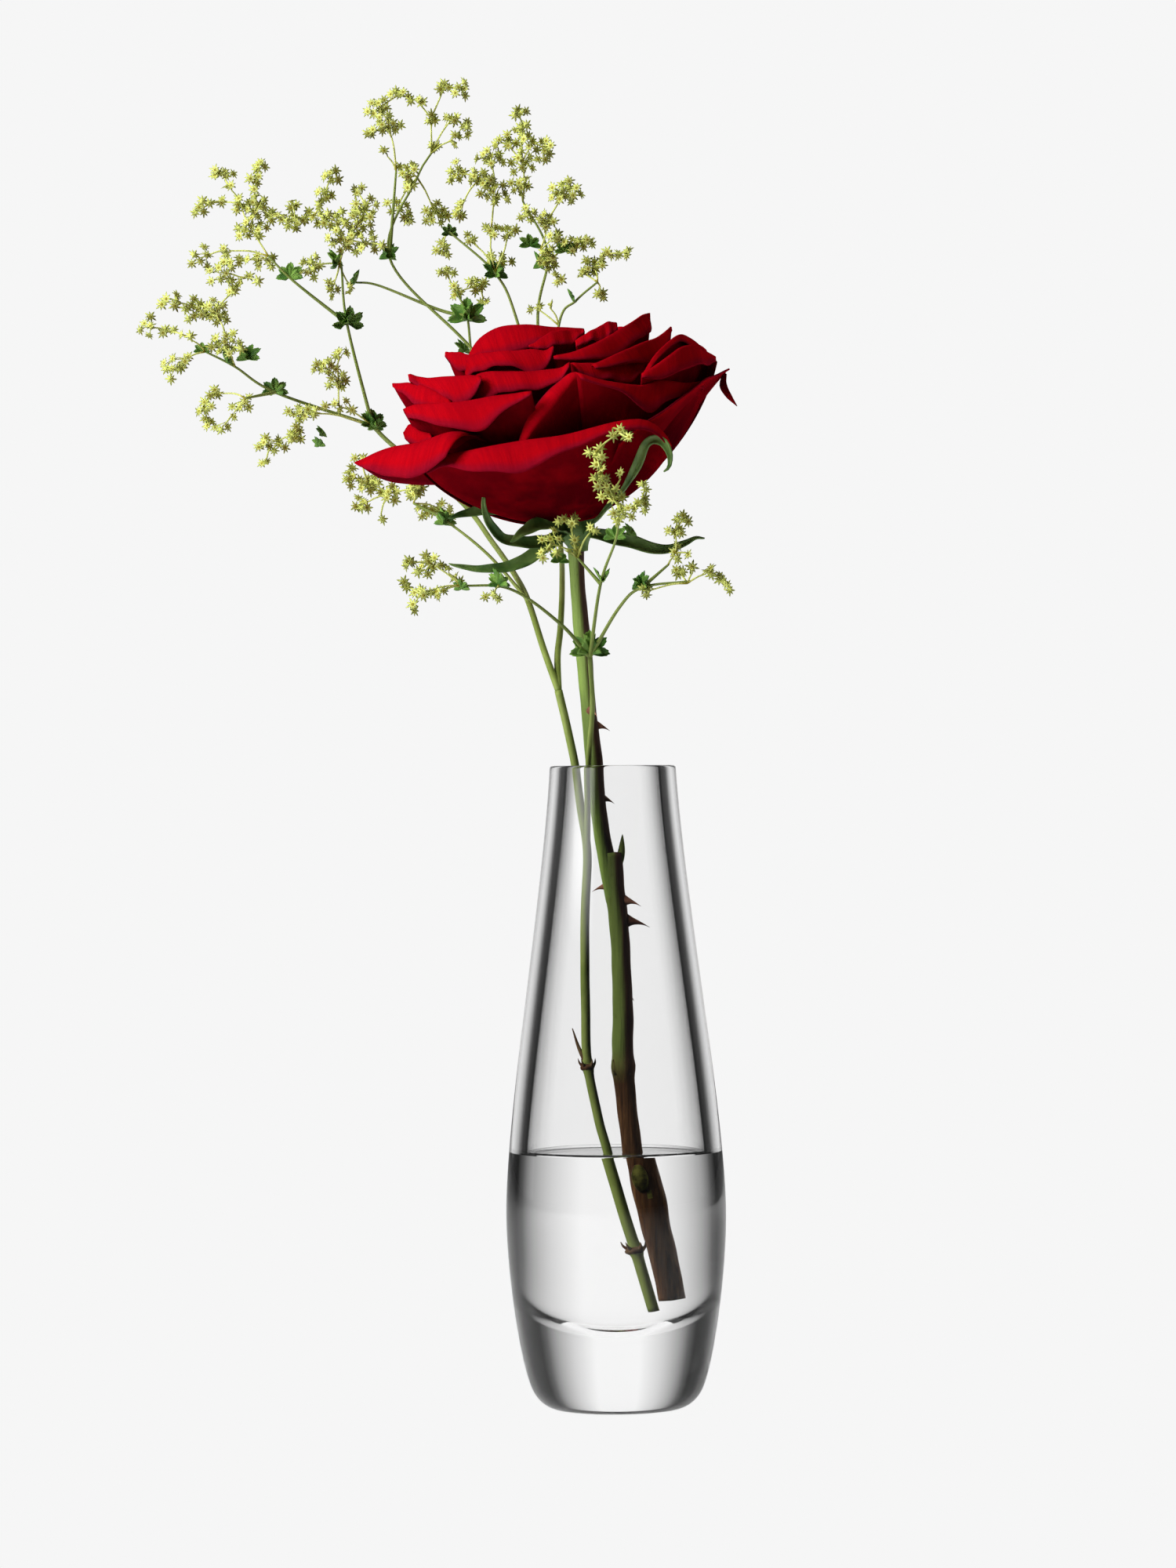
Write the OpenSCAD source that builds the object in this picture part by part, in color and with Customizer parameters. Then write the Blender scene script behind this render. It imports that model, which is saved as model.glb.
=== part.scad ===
// Thick-walled glass bud vase, part filled with water, dressed with one garden
// rose and one sprig of lady's mantle. +Z is up, +X is to the right seen from
// the front, +Y points away from the front. The origin is the centre of the
// underside of the base. The sprig lifts out of the vase and carries the rose,
// and the rose lifts out of the sprig.

/* [Vase] */
// Height of the vase
vase_h = 175; // [160:1:190]
// Outer radius at the rim
rim_r = 17.2; // [16.6:0.1:20]
// Outer radius at the widest place
belly_r = 29.9; // [29:0.1:32]
// Height of the widest place
belly_z = 53; // [48:1:60]
// Radius of the flat that the vase stands on
foot_r = 15; // [12:0.5:18]
// Thickness of the glass wall
wall = 4.8; // [4.2:0.1:4.9]
// Height of the lowest point of the hollow
bowl_z = 21.5; // [16:0.5:22]
// Height of the water surface
water_z = 69.5; // [60:0.5:85]

/* [Rose] */
// Radius of the rose's woody cane
cane_r = 2.8; // [2.2:0.1:2.9]
// Radius of the rose's green flowering stem
stem_r = 2.4; // [1.8:0.1:2.6]
// Lean of the bloom to the left, in degrees
bloom_lean = 10; // [6:1:12]
// Thickness of a petal
petal_t = 0.8; // [0.6:0.1:1]
// Length of a thorn
thorn_len = 4; // [2:0.5:4.5]

/* [Lady's mantle] */
// Radius of the main stem
sprig_r = 1.2; // [0.9:0.1:1.3]
// Radius of the flowering branches
branch_r = 0.8; // [0.6:0.1:0.9]
// Radius of the twigs in a spray
twig_r = 0.4; // [0.3:0.05:0.5]
// Radius of one star floret
floret_r = 1.8; // [1.2:0.1:2]
// Florets on each twig
floret_n = 4; // [3:1:5]
// Length of one lobe of a leaf
lobe = 5; // [3:0.5:6]

/* [Hidden] */

hip = [-9.8, 0, 240];      // where the petals join the stem
steps = 14;                // straight pieces in each long glass curve

// Stem routes, from the cut end upwards
cane_path = [[11.2, 2.5, 29.5], [9.6, 2.8, 40], [7.2, 3.2, 54], [4.6, 3.4, 70],
    [3, 3.5, 84], [2.2, 3.5, 94], [2.3, 3.5, 106], [2, 3.5, 120], [1.2, 3.5, 134],
    [0.2, 3.5, 142], [-0.2, 3.5, 151]];
stem_path = [[0.4, 3.5, 138], [-1.6, 3.5, 148], [-3.4, 3.5, 158], [-4.6, 3.5, 168],
    [-5.2, 3.5, 178], [-6.4, 3.2, 190], [-7.6, 2.6, 206], [-9, 1.2, 222], hip];
main_path = [[7.8, -3, 26.7], [6.2, -3, 34], [4, -3, 44], [0.8, -3, 57], [-2.2, -3, 70],
    [-4.6, -3, 79], [-7.4, -3, 94], [-7.8, -3, 108], [-7.8, -2.6, 132],
    [-7, -2.4, 151], [-8.6, -1.6, 163], [-10.2, -1, 175], [-12.2, -1, 185],
    [-14.6, -1, 195.5]];
left_path = [[-14.6, -1, 195.5], [-18.6, 8, 207], [-23, 26, 221], [-27, 40, 229],
    [-33, 50, 238], [-42, 58, 250], [-61, 64, 266], [-67, 66, 272]];
left_arms = [
    [[-67, 66, 272], [-74, 66, 301], [-75.5, 66, 318]],
    [[-74, 66, 301], [-89, 64, 313], [-96, 63, 320]],
    [[-67, 66, 272], [-94, 56, 281], [-105, 52, 288], [-113, 48, 292]],
    [[-94, 56, 281], [-102, 50, 279]],
    [[-23, 26, 221], [-34, 38, 234], [-46, 46, 244], [-55, 48, 249]]];
back_path = [[-14.6, -1, 195.5], [-14.8, 8, 205], [-14, 18, 213], [-13.5, 36, 226],
    [-14, 54, 238], [-17, 66, 267]];
back_arms = [
    [[-17, 66, 267], [-39, 68, 294], [-62, 72, 320], [-54, 74, 343], [-50, 75, 350]],
    [[-62, 72, 320], [-60, 74, 345]],
    [[-48, 70, 305], [-65, 70, 312], [-72, 70, 313]],
    [[-17, 66, 267], [-26, 66, 302], [-32, 66, 315], [-45, 67, 327]],
    [[-17, 66, 267], [-20, 70, 302], [-17, 72, 321], [-24, 73, 336]],
    [[-17, 66, 267], [-14, 66, 300], [-9, 66, 307], [-3, 64, 312]]];
front_path = [[-7, -2.4, 151], [-6.7, -4, 164], [-6.6, -6, 176], [-5.4, -14, 191],
    [-6, -24, 204]];
front_arms = [
    [[-6, -24, 204], [-14, -30, 213], [-27, -36, 222], [-40, -38, 223]],
    [[-6, -24, 204], [-3, -42, 223], [1, -54, 234], [2, -58, 241]],
    [[-6, -24, 204], [2, -34, 217], [8, -40, 222], [20, -42, 223.5]],
    [[-3, -42, 223], [-9, -40, 230]],
    [[8, -40, 222], [15, -40, 228]]];

// Leaves: place, and the way each one faces as turns about X and Z
leaf_spots = [[[-6, -24, 205], 70, 0], [[-3, -44, 226], 50, 40], [[8, -40, 222], 60, -30],
    [[-29, -37, 223], 60, 120], [[-46, 46, 244], 50, 160], [[-67, 66, 272], 40, 200],
    [[-74, 66, 301], 60, 10], [[-94, 56, 281], 50, 90], [[-101, 52, 290], 50, 60],
    [[-62, 72, 320], 40, 30], [[-40, 68, 303], 70, 0], [[-32, 66, 315], 50, 140],
    [[-18, 72, 318], 50, -20], [[-9, 66, 307], 40, -60]];

// Sprays: root, centre, half size, number of twigs, seed
far_left = [[[-105, 52, 288], [-124, 42, 297], [7, 6, 4], 2, 10],
    [[-105, 52, 288], [-118, 45, 288], [6, 5, 4], 2, 30],
    [[-101, 52, 290], [-112, 48, 300], [9, 7, 8], 4, 50],
    [[-102, 50, 279], [-109, 46, 276], [5, 5, 5], 2, 70]];
upper_left = [[[-75.5, 66, 318], [-77, 68, 329], [10, 7, 9], 5, 100],
    [[-96, 63, 320], [-101, 62, 331], [8, 7, 14], 5, 130]];
low_left = [[[-67, 66, 272], [-89, 58, 269], [7, 5, 7], 3, 160],
    [[-67, 66, 272], [-78, 61, 283], [5, 4, 7], 2, 180],
    [[-55, 48, 249], [-64, 48, 252], [9, 5, 6], 4, 200]];
top = [[[-50, 75, 350], [-46, 76, 361], [5, 5, 7], 2, 230],
    [[-60, 74, 345], [-62, 76, 359], [5, 5, 8], 2, 250],
    [[-54, 74, 343], [-56, 74, 338], [7, 6, 9], 3, 270],
    [[-72, 70, 313], [-79, 70, 313], [6, 6, 6], 2, 290]];
top_right = [[[-24, 73, 336], [-30, 74, 349], [12, 8, 11], 6, 310],
    [[-45, 67, 327], [-42, 69, 329], [9, 7, 10], 3, 350],
    [[-39, 68, 303], [-40, 69, 312], [7, 5, 5], 2, 370]];
right = [[[-17, 72, 321], [-16, 70, 334], [7, 6, 5], 3, 400],
    [[-17, 72, 321], [-11, 67, 320], [6, 5, 5], 2, 420],
    [[-3, 64, 312], [0, 64, 315], [6, 4, 5], 2, 440]];
front = [[[2, -58, 241], [3, -59, 252], [7, 3, 10], 5, 470],
    [[-9, -40, 230], [-12, -37, 235], [4, 3, 4], 3, 500]];
front_left = [[[-40, -38, 223], [-50, -38, 224], [7, 5, 7], 4, 520]];
front_right = [[[20, -42, 223.5], [26, -42, 224], [5, 4, 3], 2, 550],
    [[15, -40, 228], [18, -40, 233], [3, 4, 7], 3, 570]];

// A point on a cubic curve with four control points
function on_curve(p, t) = pow(1 - t, 3)*p[0] + 3*pow(1 - t, 2)*t*p[1]
    + 3*(1 - t)*t*t*p[2] + pow(t, 3)*p[3];
function curve(p, n) = [for (i = [0 : n]) on_curve(p, i/n)];

// A repeatable number from 0 to 1
function rnd(i) = let(v = sin(127.1*i + 11.7)*4375.85) v - floor(v);

// A direction turned a degrees round Z, with its rise t from -1 to 1
function heading(a, t) = [sqrt(1 - t*t)*cos(a), sqrt(1 - t*t)*sin(a), t];
function spread(half, v) = [half[0]*v[0], half[1]*v[1], half[2]*v[2]];

// The end of one twig in a spray, and of one floret stalk on a twig
function twig_end(s, k) = let(i = s[4] + 3*k, q = 0.45 + 0.4*rnd(i + 2))
    s[1] + spread(s[2], q*heading(360*rnd(i), 2*rnd(i + 1) - 1));
function stalk_way(s, k, j) = let(i = 7*(s[4] + k) + j)
    heading(360/floret_n*j + 40*rnd(i), 1.5*rnd(i + 1) - 0.6);
function stalk_len(s, k, j) = 2.6 + 1.4*rnd(7*(s[4] + k) + j + 3);

// Turns a solid that points along Z to point along v
module aim(v) rotate([0, acos(v[2]/norm(v)), atan2(v[1], v[0])]) children();

// A stem through the points of a path, its radius going from r1 to r2
module stem(path, r1, r2, sides = 6) {
    last = len(path) - 1;
    for (i = [0 : last - 1]) hull() {
        translate(path[i]) sphere(r1 + (r2 - r1)*i/last, $fn = sides);
        translate(path[i + 1]) sphere(r1 + (r2 - r1)*(i + 1)/last, $fn = sides);
    }
}

// A thin blade through the points of a path, widest in the middle
module blade(path, half_w, half_t) {
    last = len(path) - 1;
    function w(i) = half_w*(0.15 + 0.85*sin(180*min(1, (i + 0.6)/(last + 1))));
    for (i = [0 : last - 1]) hull()
        for (j = [i, i + 1]) translate(path[j]) scale([1, 1, half_t/half_w])
            sphere(w(j), $fn = 6);
}

// One petal: a thin curved plate that follows profile p, as [radius, height],
// out from the bloom's axis, with half width w
module petal(p, w, turn) {
    rows = 5;
    cols = 4;
    function half(u) = max(0.8, w*pow(sin(180*pow(0.03 + 0.93*u, 1.6)), 0.7));
    function place(u, v, side) =
        let(c = on_curve(p, u), d = on_curve(p, min(1, u + 0.02)) - on_curve(p, max(0, u - 0.02)),
            n = [-d[1], d[0]]/norm(d), q = c + side*petal_t/2*n,
            a = v*half(u)/max(c[0], 10)*57.3)
        [q[0]*cos(a), q[0]*sin(a), q[1] + 0.06*w*v*v*u];
    function id(i, j, s) = s*(rows + 1)*(cols + 1) + i*(cols + 1) + j;
    function quad(a, b, c, d) = [[a, b, c], [a, c, d]];
    points = [for (s = [0, 1], i = [0 : rows], j = [0 : cols])
        place(i/rows, 2*j/cols - 1, 2*s - 1)];
    skins = [for (i = [0 : rows - 1], j = [0 : cols - 1], f = concat(
        quad(id(i, j, 0), id(i + 1, j, 0), id(i + 1, j + 1, 0), id(i, j + 1, 0)),
        quad(id(i, j, 1), id(i, j + 1, 1), id(i + 1, j + 1, 1), id(i + 1, j, 1)))) f];
    edges = [for (i = [0 : rows - 1], f = concat(
        quad(id(i, 0, 0), id(i, 0, 1), id(i + 1, 0, 1), id(i + 1, 0, 0)),
        quad(id(i, cols, 0), id(i + 1, cols, 0), id(i + 1, cols, 1), id(i, cols, 1)))) f];
    ends = [for (j = [0 : cols - 1], f = concat(
        quad(id(0, j, 0), id(0, j + 1, 0), id(0, j + 1, 1), id(0, j, 1)),
        quad(id(rows, j, 0), id(rows, j, 1), id(rows, j + 1, 1), id(rows, j + 1, 0)))) f];
    rotate([0, 0, turn]) polyhedron(points, concat(skins, edges, ends));
}

// A ring of petals about the bloom's leaning axis
module petal_ring(p, w, count, first) {
    translate(hip) rotate([0, -bloom_lean, 0])
        for (i = [0 : count - 1]) petal(p, w, first + 360*i/count);
}

// One floret that faces along Z, on a stalk of the given length
module floret(stalk) rotate_extrude($fn = 3)
    polygon([[0, 0], [0.3, 0], [0.3, stalk], [floret_r, stalk + 1.2], [0, stalk + 1.2]]);

// Twigs that spread from a root, each with stalked florets along its end
module spray(list) {
    for (s = list, k = [0 : s[3] - 1]) {
        tip = twig_end(s, k);
        back = (s[0] - tip)/norm(s[0] - tip);
        translate(tip) aim(back) cylinder(h = norm(s[0] - tip), r = twig_r, $fn = 3);
        for (j = [0 : floret_n - 1]) translate(tip + (0.2 + 1.1*j)*back)
            aim(stalk_way(s, k, j)) floret(stalk_len(s, k, j));
    }
}

module lobed_leaf(s) {
    translate(s[0]) rotate([0, 0, s[2]]) rotate([s[1], 0, 0])
        for (a = [-65, 0, 65]) rotate([0, 0, a]) hull() {
            cylinder(h = 0.6, r = 1, $fn = 4);
            translate([0, lobe*0.65, 0]) cylinder(h = 0.6, r = lobe*0.35, $fn = 4);
        }
}

// Glass outlines, each from the bottom up
outer_line = concat(
    curve([[foot_r, 0], [foot_r + 4.5, 0], [22.2, 3], [23.4, 6]], 6),
    curve([[23.4, 6], [26.4, 13], [belly_r, belly_z - 20], [belly_r, belly_z]], steps),
    curve([[belly_r, belly_z], [belly_r, belly_z + 27], [rim_r + 2, vase_h - 35],
        [rim_r, vase_h - 0.8]], steps));
function inner_line(gap) = concat(
    curve([[0, bowl_z + gap], [17.5, bowl_z + gap], [belly_r - wall - gap, belly_z - 18],
        [belly_r - wall - gap, belly_z]], steps),
    curve([[belly_r - wall - gap, belly_z], [belly_r - wall - gap, belly_z + 27],
        [rim_r - wall + 2 - gap, vase_h - 35], [rim_r - wall - gap, vase_h - 0.8]], steps));
inner_down = [for (i = [len(inner_line(0)) - 1 : -1 : 0]) inner_line(0)[i]];

module vase_glass() {
    color([0.86, 0.9, 0.9, 0.4]) rotate_extrude($fn = 96)
        polygon(concat([[0, 0]], outer_line,
            [[rim_r - 0.8, vase_h], [rim_r - wall + 0.8, vase_h]], inner_down));
}

// The water, with a well round the stems so that they can be drawn out
module water() {
    well = [[2, 18], [17, 18], [17, 80], [-6.5, 80], [-6.5, 68], [-3, 52]];
    color([0.8, 0.9, 0.95, 0.4]) difference() {
        intersection() {
            rotate_extrude($fn = 96) polygon(concat(inner_line(0.1), [[0, vase_h - 0.8]]));
            cylinder(h = water_z, r = belly_r + 5, $fn = 96);
        }
        translate([0, 7.5, 0]) rotate([90, 0, 0]) linear_extrude(14) polygon(well);
    }
}

module sprig_main_stem() color([0.62, 0.72, 0.3]) {
    stem(main_path, sprig_r, sprig_r*0.9, 8);
    translate(main_path[6]) sphere(sprig_r*1.25, $fn = 8);
}

// The dry bracts at the two lowest joints of the main stem
module sprig_bracts() color([0.45, 0.3, 0.18]) {
    stem([[3.6, -3, 45.6], [4.4, -3, 42.2]], 1.8, 1.7, 8);
    stem([[-7.2, -3.2, 93], [-8.8, -2, 98], [-9.6, -1, 102.5]], 1.1, 0.4, 6);
    for (a = [40 : 80 : 360])
        stem([[4, -3, 44], [4 + 2.2*cos(a), -3 + 2.2*sin(a), 42.4]], 0.5, 0.3, 4);
    for (a = [20 : 120 : 360])
        stem([[-7.4, -3, 95], [-7.4 + 1.6*cos(a), -3 + 1.6*sin(a), 99]], 0.5, 0.3, 4);
}

module sprig_left_branch() color([0.62, 0.72, 0.3]) {
    stem(left_path, branch_r*1.2, branch_r*0.9);
    for (a = left_arms) stem(a, branch_r*0.8, branch_r*0.55);
}

module sprig_back_branch() color([0.62, 0.72, 0.3]) {
    stem(back_path, branch_r, branch_r*0.9);
    for (a = back_arms) stem(a, branch_r*0.8, branch_r*0.55);
}

module sprig_front_branch() color([0.62, 0.72, 0.3]) {
    stem(front_path, branch_r, branch_r*0.8);
    for (a = front_arms) stem(a, branch_r*0.7, branch_r*0.55);
}

module sprig_leaves() color([0.2, 0.42, 0.15])
    for (s = leaf_spots) lobed_leaf(s);

module spray_far_left() color([0.7, 0.76, 0.3]) spray(far_left);
module spray_upper_left() color([0.7, 0.76, 0.3]) spray(upper_left);
module spray_low_left() color([0.7, 0.76, 0.3]) spray(low_left);
module spray_top() color([0.7, 0.76, 0.3]) spray(top);
module spray_top_right() color([0.7, 0.76, 0.3]) spray(top_right);
module spray_right() color([0.7, 0.76, 0.3]) spray(right);
module spray_front() color([0.7, 0.76, 0.3]) spray(front);
module spray_front_left() color([0.7, 0.76, 0.3]) spray(front_left);
module spray_front_right() color([0.7, 0.76, 0.3]) spray(front_right);

module rose_cane() color([0.35, 0.2, 0.1]) {
    stem(cane_path, cane_r, cane_r*0.95, 12);
    translate([1.6, 3.5, 92]) sphere(cane_r*1.15, $fn = 10);
}

module rose_stem() color([0.3, 0.42, 0.14])
    stem(stem_path, stem_r*1.05, stem_r, 12);

module rose_side_shoot() color([0.5, 0.6, 0.2])
    stem([[1, 3.5, 147], [2.2, 3.2, 151], [2.6, 3, 156]], 1.1, 0.5, 6);

// Thorns: foot on the stem, then the way each one points
module rose_thorns() color([0.4, 0.16, 0.1]) {
    spots = [[[-3.6, 3.5, 166], [1, 0, 0]], [[-1, 3.5, 141], [-1, 0, 0.1]],
        [[3, 3.5, 136], [1, 0, 0.2]], [[4, 3.5, 131], [1, 0, -0.05]],
        [[3.4, 4.2, 112], [0.9, 0.5, 0]], [[-6, 2, 190], [0.5, -1, 0]],
        [[-5, 3.4, 186], [1, 0.2, 0]], [[-8, 3, 206], [-0.4, 1, 0]],
        [[3.2, 4, 120], [0.4, 1, 0]]];
    for (s = spots) translate(s[0]) aim(s[1]) hull() {
        scale([1, 1.6, 1]) cylinder(h = 1.2, r = 1.2, $fn = 8);
        translate([0, 0, thorn_len]) sphere(0.3, $fn = 4);
    }
}

// The green hip under the petals, with the cone that they grow from
module rose_hip() color([0.25, 0.4, 0.16]) translate(hip) rotate([0, -bloom_lean, 0])
    rotate_extrude($fn = 32) polygon(concat([[0, -7]],
        curve([[stem_r, -7], [stem_r + 0.6, -3], [5.5, -3], [5.5, 0]], 8),
        [[5.2, 6], [4.6, 11], [0, 11]]));

module sepal(path) blade(path, 3, 0.5);

module rose_sepals() color([0.2, 0.34, 0.14]) {
    sepal([[-13, -2, 238], [-20, -6, 233], [-28, -12, 230], [-35, -18, 230.5], [-40, -22, 234]]);
    sepal([[-13, -1, 237], [-22, -3, 231], [-32, -5, 228.5], [-47, -6, 228]]);
    sepal([[-12, 2, 238], [-24, 8, 234], [-36, 12, 233], [-46, 14, 235]]);
    sepal([[-11, -4, 238], [-15, -12, 233], [-19, -20, 232], [-24, -27, 234]]);
    sepal([[-7, 0, 238], [2, -2, 234], [11, -3, 231.5], [18, -3, 232], [25, -2, 235.5]]);
}

// Petal profiles, from the hip outwards
outer_form = [[3.6, 0], [30, -4], [50, 8], [50, 24]];
middle_form = [[3.6, 3], [24, 1], [40, 14], [41, 34]];
upper_form = [[3.6, 6], [16, 6], [31, 22], [31, 44]];
inner_form = [[3.6, 9], [9, 10], [20, 28], [19, 50]];

module rose_outer_petals() color([0.5, 0, 0.05]) petal_ring(outer_form, 18, 7, 12);
module rose_middle_petals() color([0.6, 0, 0.06]) petal_ring(middle_form, 15, 7, 38);
module rose_upper_petals() color([0.68, 0, 0.07]) petal_ring(upper_form, 11, 7, 5);
module rose_inner_petals() color([0.72, 0, 0.08]) petal_ring(inner_form, 7, 7, 30);

module rose_heart() color([0.6, 0, 0.06]) translate(hip) rotate([0, -bloom_lean, 0])
    rotate_extrude($fn = 32) polygon(concat([[0, 11]],
        curve([[3.5, 11], [4, 18], [12, 24], [10, 36]], 10),
        curve([[10, 36], [9, 44], [5, 49], [0, 50]], 8)));

vase_glass();
water();
sprig_main_stem();
sprig_bracts();
sprig_left_branch();
sprig_back_branch();
sprig_front_branch();
sprig_leaves();
spray_far_left();
spray_upper_left();
spray_low_left();
spray_top();
spray_top_right();
spray_right();
spray_front();
spray_front_left();
spray_front_right();
rose_cane();
rose_stem();
rose_side_shoot();
rose_thorns();
rose_hip();
rose_sepals();
rose_outer_petals();
rose_middle_petals();
rose_upper_petals();
rose_inner_petals();
rose_heart();
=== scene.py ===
"""Looks for the dressed glass bud vase: clear glass, water, a red rose and a sprig of lady's mantle."""

import math

import bpy
import numpy as np
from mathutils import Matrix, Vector


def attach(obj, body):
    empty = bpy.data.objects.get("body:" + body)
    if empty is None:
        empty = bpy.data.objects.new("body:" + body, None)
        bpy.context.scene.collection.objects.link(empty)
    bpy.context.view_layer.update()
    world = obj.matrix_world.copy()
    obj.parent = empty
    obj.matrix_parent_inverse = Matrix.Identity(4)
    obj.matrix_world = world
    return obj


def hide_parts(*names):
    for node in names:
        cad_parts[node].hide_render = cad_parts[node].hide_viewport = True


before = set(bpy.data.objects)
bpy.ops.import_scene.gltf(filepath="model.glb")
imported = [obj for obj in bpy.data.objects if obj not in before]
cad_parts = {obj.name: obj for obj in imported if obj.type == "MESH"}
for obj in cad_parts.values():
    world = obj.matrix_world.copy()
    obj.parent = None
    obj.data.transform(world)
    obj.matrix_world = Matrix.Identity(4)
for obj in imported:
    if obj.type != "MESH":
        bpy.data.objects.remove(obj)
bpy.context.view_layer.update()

MM = 0.001  # the object's lengths are in millimetres here and become metres when a mesh is made


# ---------------------------------------------------------------- numbers and curves

def rnd(i):
    """A repeatable number from 0 to 1 for the whole number i."""
    t = math.sin(math.radians(127.1 * i + 11.7)) * 4375.85
    return t - math.floor(t)


def heading(turn, rise):
    """A unit vector at the compass angle turn, in degrees, with the height rise."""
    flat = math.sqrt(max(0.0, 1 - rise * rise))
    return np.array([math.cos(math.radians(turn)) * flat, math.sin(math.radians(turn)) * flat, rise])


def unit(v):
    """v at length 1."""
    v = np.asarray(v, float)
    return v / max(np.linalg.norm(v), 1e-9)


def ease(lo, hi, x):
    """0 below lo, 1 above hi, and a smooth step between them."""
    t = np.clip((np.asarray(x, float) - lo) / (hi - lo), 0, 1)
    return t * t * (3 - 2 * t)


def cubic(a, b, c, d, n):
    """n points on a Bezier curve, its first point left out."""
    t = np.linspace(0, 1, n + 1)[1:, None]
    a, b, c, d = (np.asarray(p, float) for p in (a, b, c, d))
    return (1 - t) ** 3 * a + 3 * (1 - t) ** 2 * t * b + 3 * (1 - t) * t * t * c + t ** 3 * d


def smooth(points, n):
    """n points, evenly spaced along a smooth curve through the given ones."""
    p = np.asarray(points, float)
    p = np.vstack([2 * p[0] - p[1], p, 2 * p[-1] - p[-2]])
    out = []
    for i in range(1, len(p) - 2):
        t = np.linspace(0, 1, 17)[:-1, None]
        out.append(0.5 * (2 * p[i] + (p[i + 1] - p[i - 1]) * t
                          + (2 * p[i - 1] - 5 * p[i] + 4 * p[i + 1] - p[i + 2]) * t * t
                          + (3 * p[i] - p[i - 1] - 3 * p[i + 1] + p[i + 2]) * t ** 3))
    out = np.vstack(out + [p[-2][None]])
    run = np.concatenate([[0], np.cumsum(np.linalg.norm(np.diff(out, axis=0), axis=1))])
    even = np.linspace(0, run[-1], n)
    return np.stack([np.interp(even, run, out[:, k]) for k in range(3)], 1)


# ---------------------------------------------------------------- closed shapes

def part(verts, faces, **marks):
    """One closed shape: its corners, its faces and a number per corner for each named mark."""
    return {"v": np.asarray(verts, float), "f": faces, "marks": marks}


def tube(path, radii, sides=16, dome=0.5, rough=0.0, seed=0):
    """A round stem along path with domed ends. Marks: along, 0 to 1, and side, -1 left to 1 right."""
    p = np.asarray(path, float)
    n = len(p)
    r = np.broadcast_to(np.asarray(radii, float), (n,)).copy()
    way = np.gradient(p, axis=0)
    way /= np.linalg.norm(way, axis=1)[:, None]
    out = unit(np.cross(way[0], [0.31, 0.9, 0.2]))
    rings, side, along = [], [], []
    angles = np.linspace(0, 2 * math.pi, sides, endpoint=False)
    for k in range(n):
        out = unit(out - way[k] * out.dot(way[k]))
        cross = np.cross(way[k], out)
        normal = np.outer(np.cos(angles), out) + np.outer(np.sin(angles), cross)
        swell = r[k] * (1 + rough * (np.sin(3 * angles + 0.7 * k + seed) + np.sin(5 * angles - 0.4 * k)))
        rings.append(p[k] + normal * swell[:, None])
        side.append(normal[:, 0])
        along.append(np.full(sides, k / (n - 1)))
    start, end = p[0] - way[0] * r[0] * dome, p[-1] + way[-1] * r[-1] * dome
    v = np.vstack([start[None]] + rings + [end[None]])
    f = []
    for j in range(sides):
        k = (j + 1) % sides
        f.append((0, 1 + k, 1 + j))
        for i in range(n - 1):
            a, b = 1 + i * sides, 1 + (i + 1) * sides
            f.append((a + j, a + k, b + k, b + j))
        f.append((1 + (n - 1) * sides + j, 1 + (n - 1) * sides + k, len(v) - 1))
    return part(v, f, side=np.concatenate([[0], *side, [0]]), along=np.concatenate([[0], *along, [1]]))


def shell(grid, thick, across=None, along=None):
    """A thin closed sheet round a grid of points, rows by columns, with its edges at half thickness."""
    g = np.asarray(grid, float)
    rows, cols = g.shape[:2]
    du, dv = np.gradient(g, axis=1), np.gradient(g, axis=0)
    normal = np.cross(du, dv)
    normal /= np.maximum(np.linalg.norm(normal, axis=2), 1e-9)[..., None]
    t = np.full((rows, cols), thick / 2)
    t[-1], t[:, 0], t[:, -1] = thick / 4, thick / 4, thick / 4
    top, low = (g + normal * t[..., None]).reshape(-1, 3), (g - normal * t[..., None]).reshape(-1, 3)
    m = rows * cols
    f = []
    for i in range(rows - 1):
        for j in range(cols - 1):
            a = i * cols + j
            f.append((a, a + 1, a + cols + 1, a + cols))
            f.append((m + a, m + a + cols, m + a + cols + 1, m + a + 1))
    rim = ([i for i in range(cols)] + [i * cols + cols - 1 for i in range(1, rows)]
           + [(rows - 1) * cols + j for j in range(cols - 2, -1, -1)]
           + [i * cols for i in range(rows - 2, 0, -1)])
    for a, b in zip(rim, rim[1:] + rim[:1]):
        f.append((b, a, m + a, m + b))
    across = np.zeros((rows, cols)) if across is None else across
    along = np.zeros((rows, cols)) if along is None else along
    return part(np.vstack([top, low]), f, across=np.tile(across.ravel(), 2), along=np.tile(along.ravel(), 2))


def lathe(outline, n=256):
    """A turned shape: outline is (radius, height) points whose first and last lie on the axis."""
    o = np.asarray(outline, float)
    angles = np.linspace(0, 2 * math.pi, n, endpoint=False)
    rings = [np.stack([r * np.cos(angles), r * np.sin(angles), np.full(n, z)], 1) for r, z in o[1:-1]]
    v = np.vstack([[[0, 0, o[0][1]]]] + rings + [[[0, 0, o[-1][1]]]])
    f = []
    for j in range(n):
        k = (j + 1) % n
        f.append((0, 1 + k, 1 + j))
        for i in range(len(rings) - 1):
            a, b = 1 + i * n, 1 + (i + 1) * n
            f.append((a + j, a + k, b + k, b + j))
        f.append((1 + (len(rings) - 1) * n + j, 1 + (len(rings) - 1) * n + k, len(v) - 1))
    return part(v, f)


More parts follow.
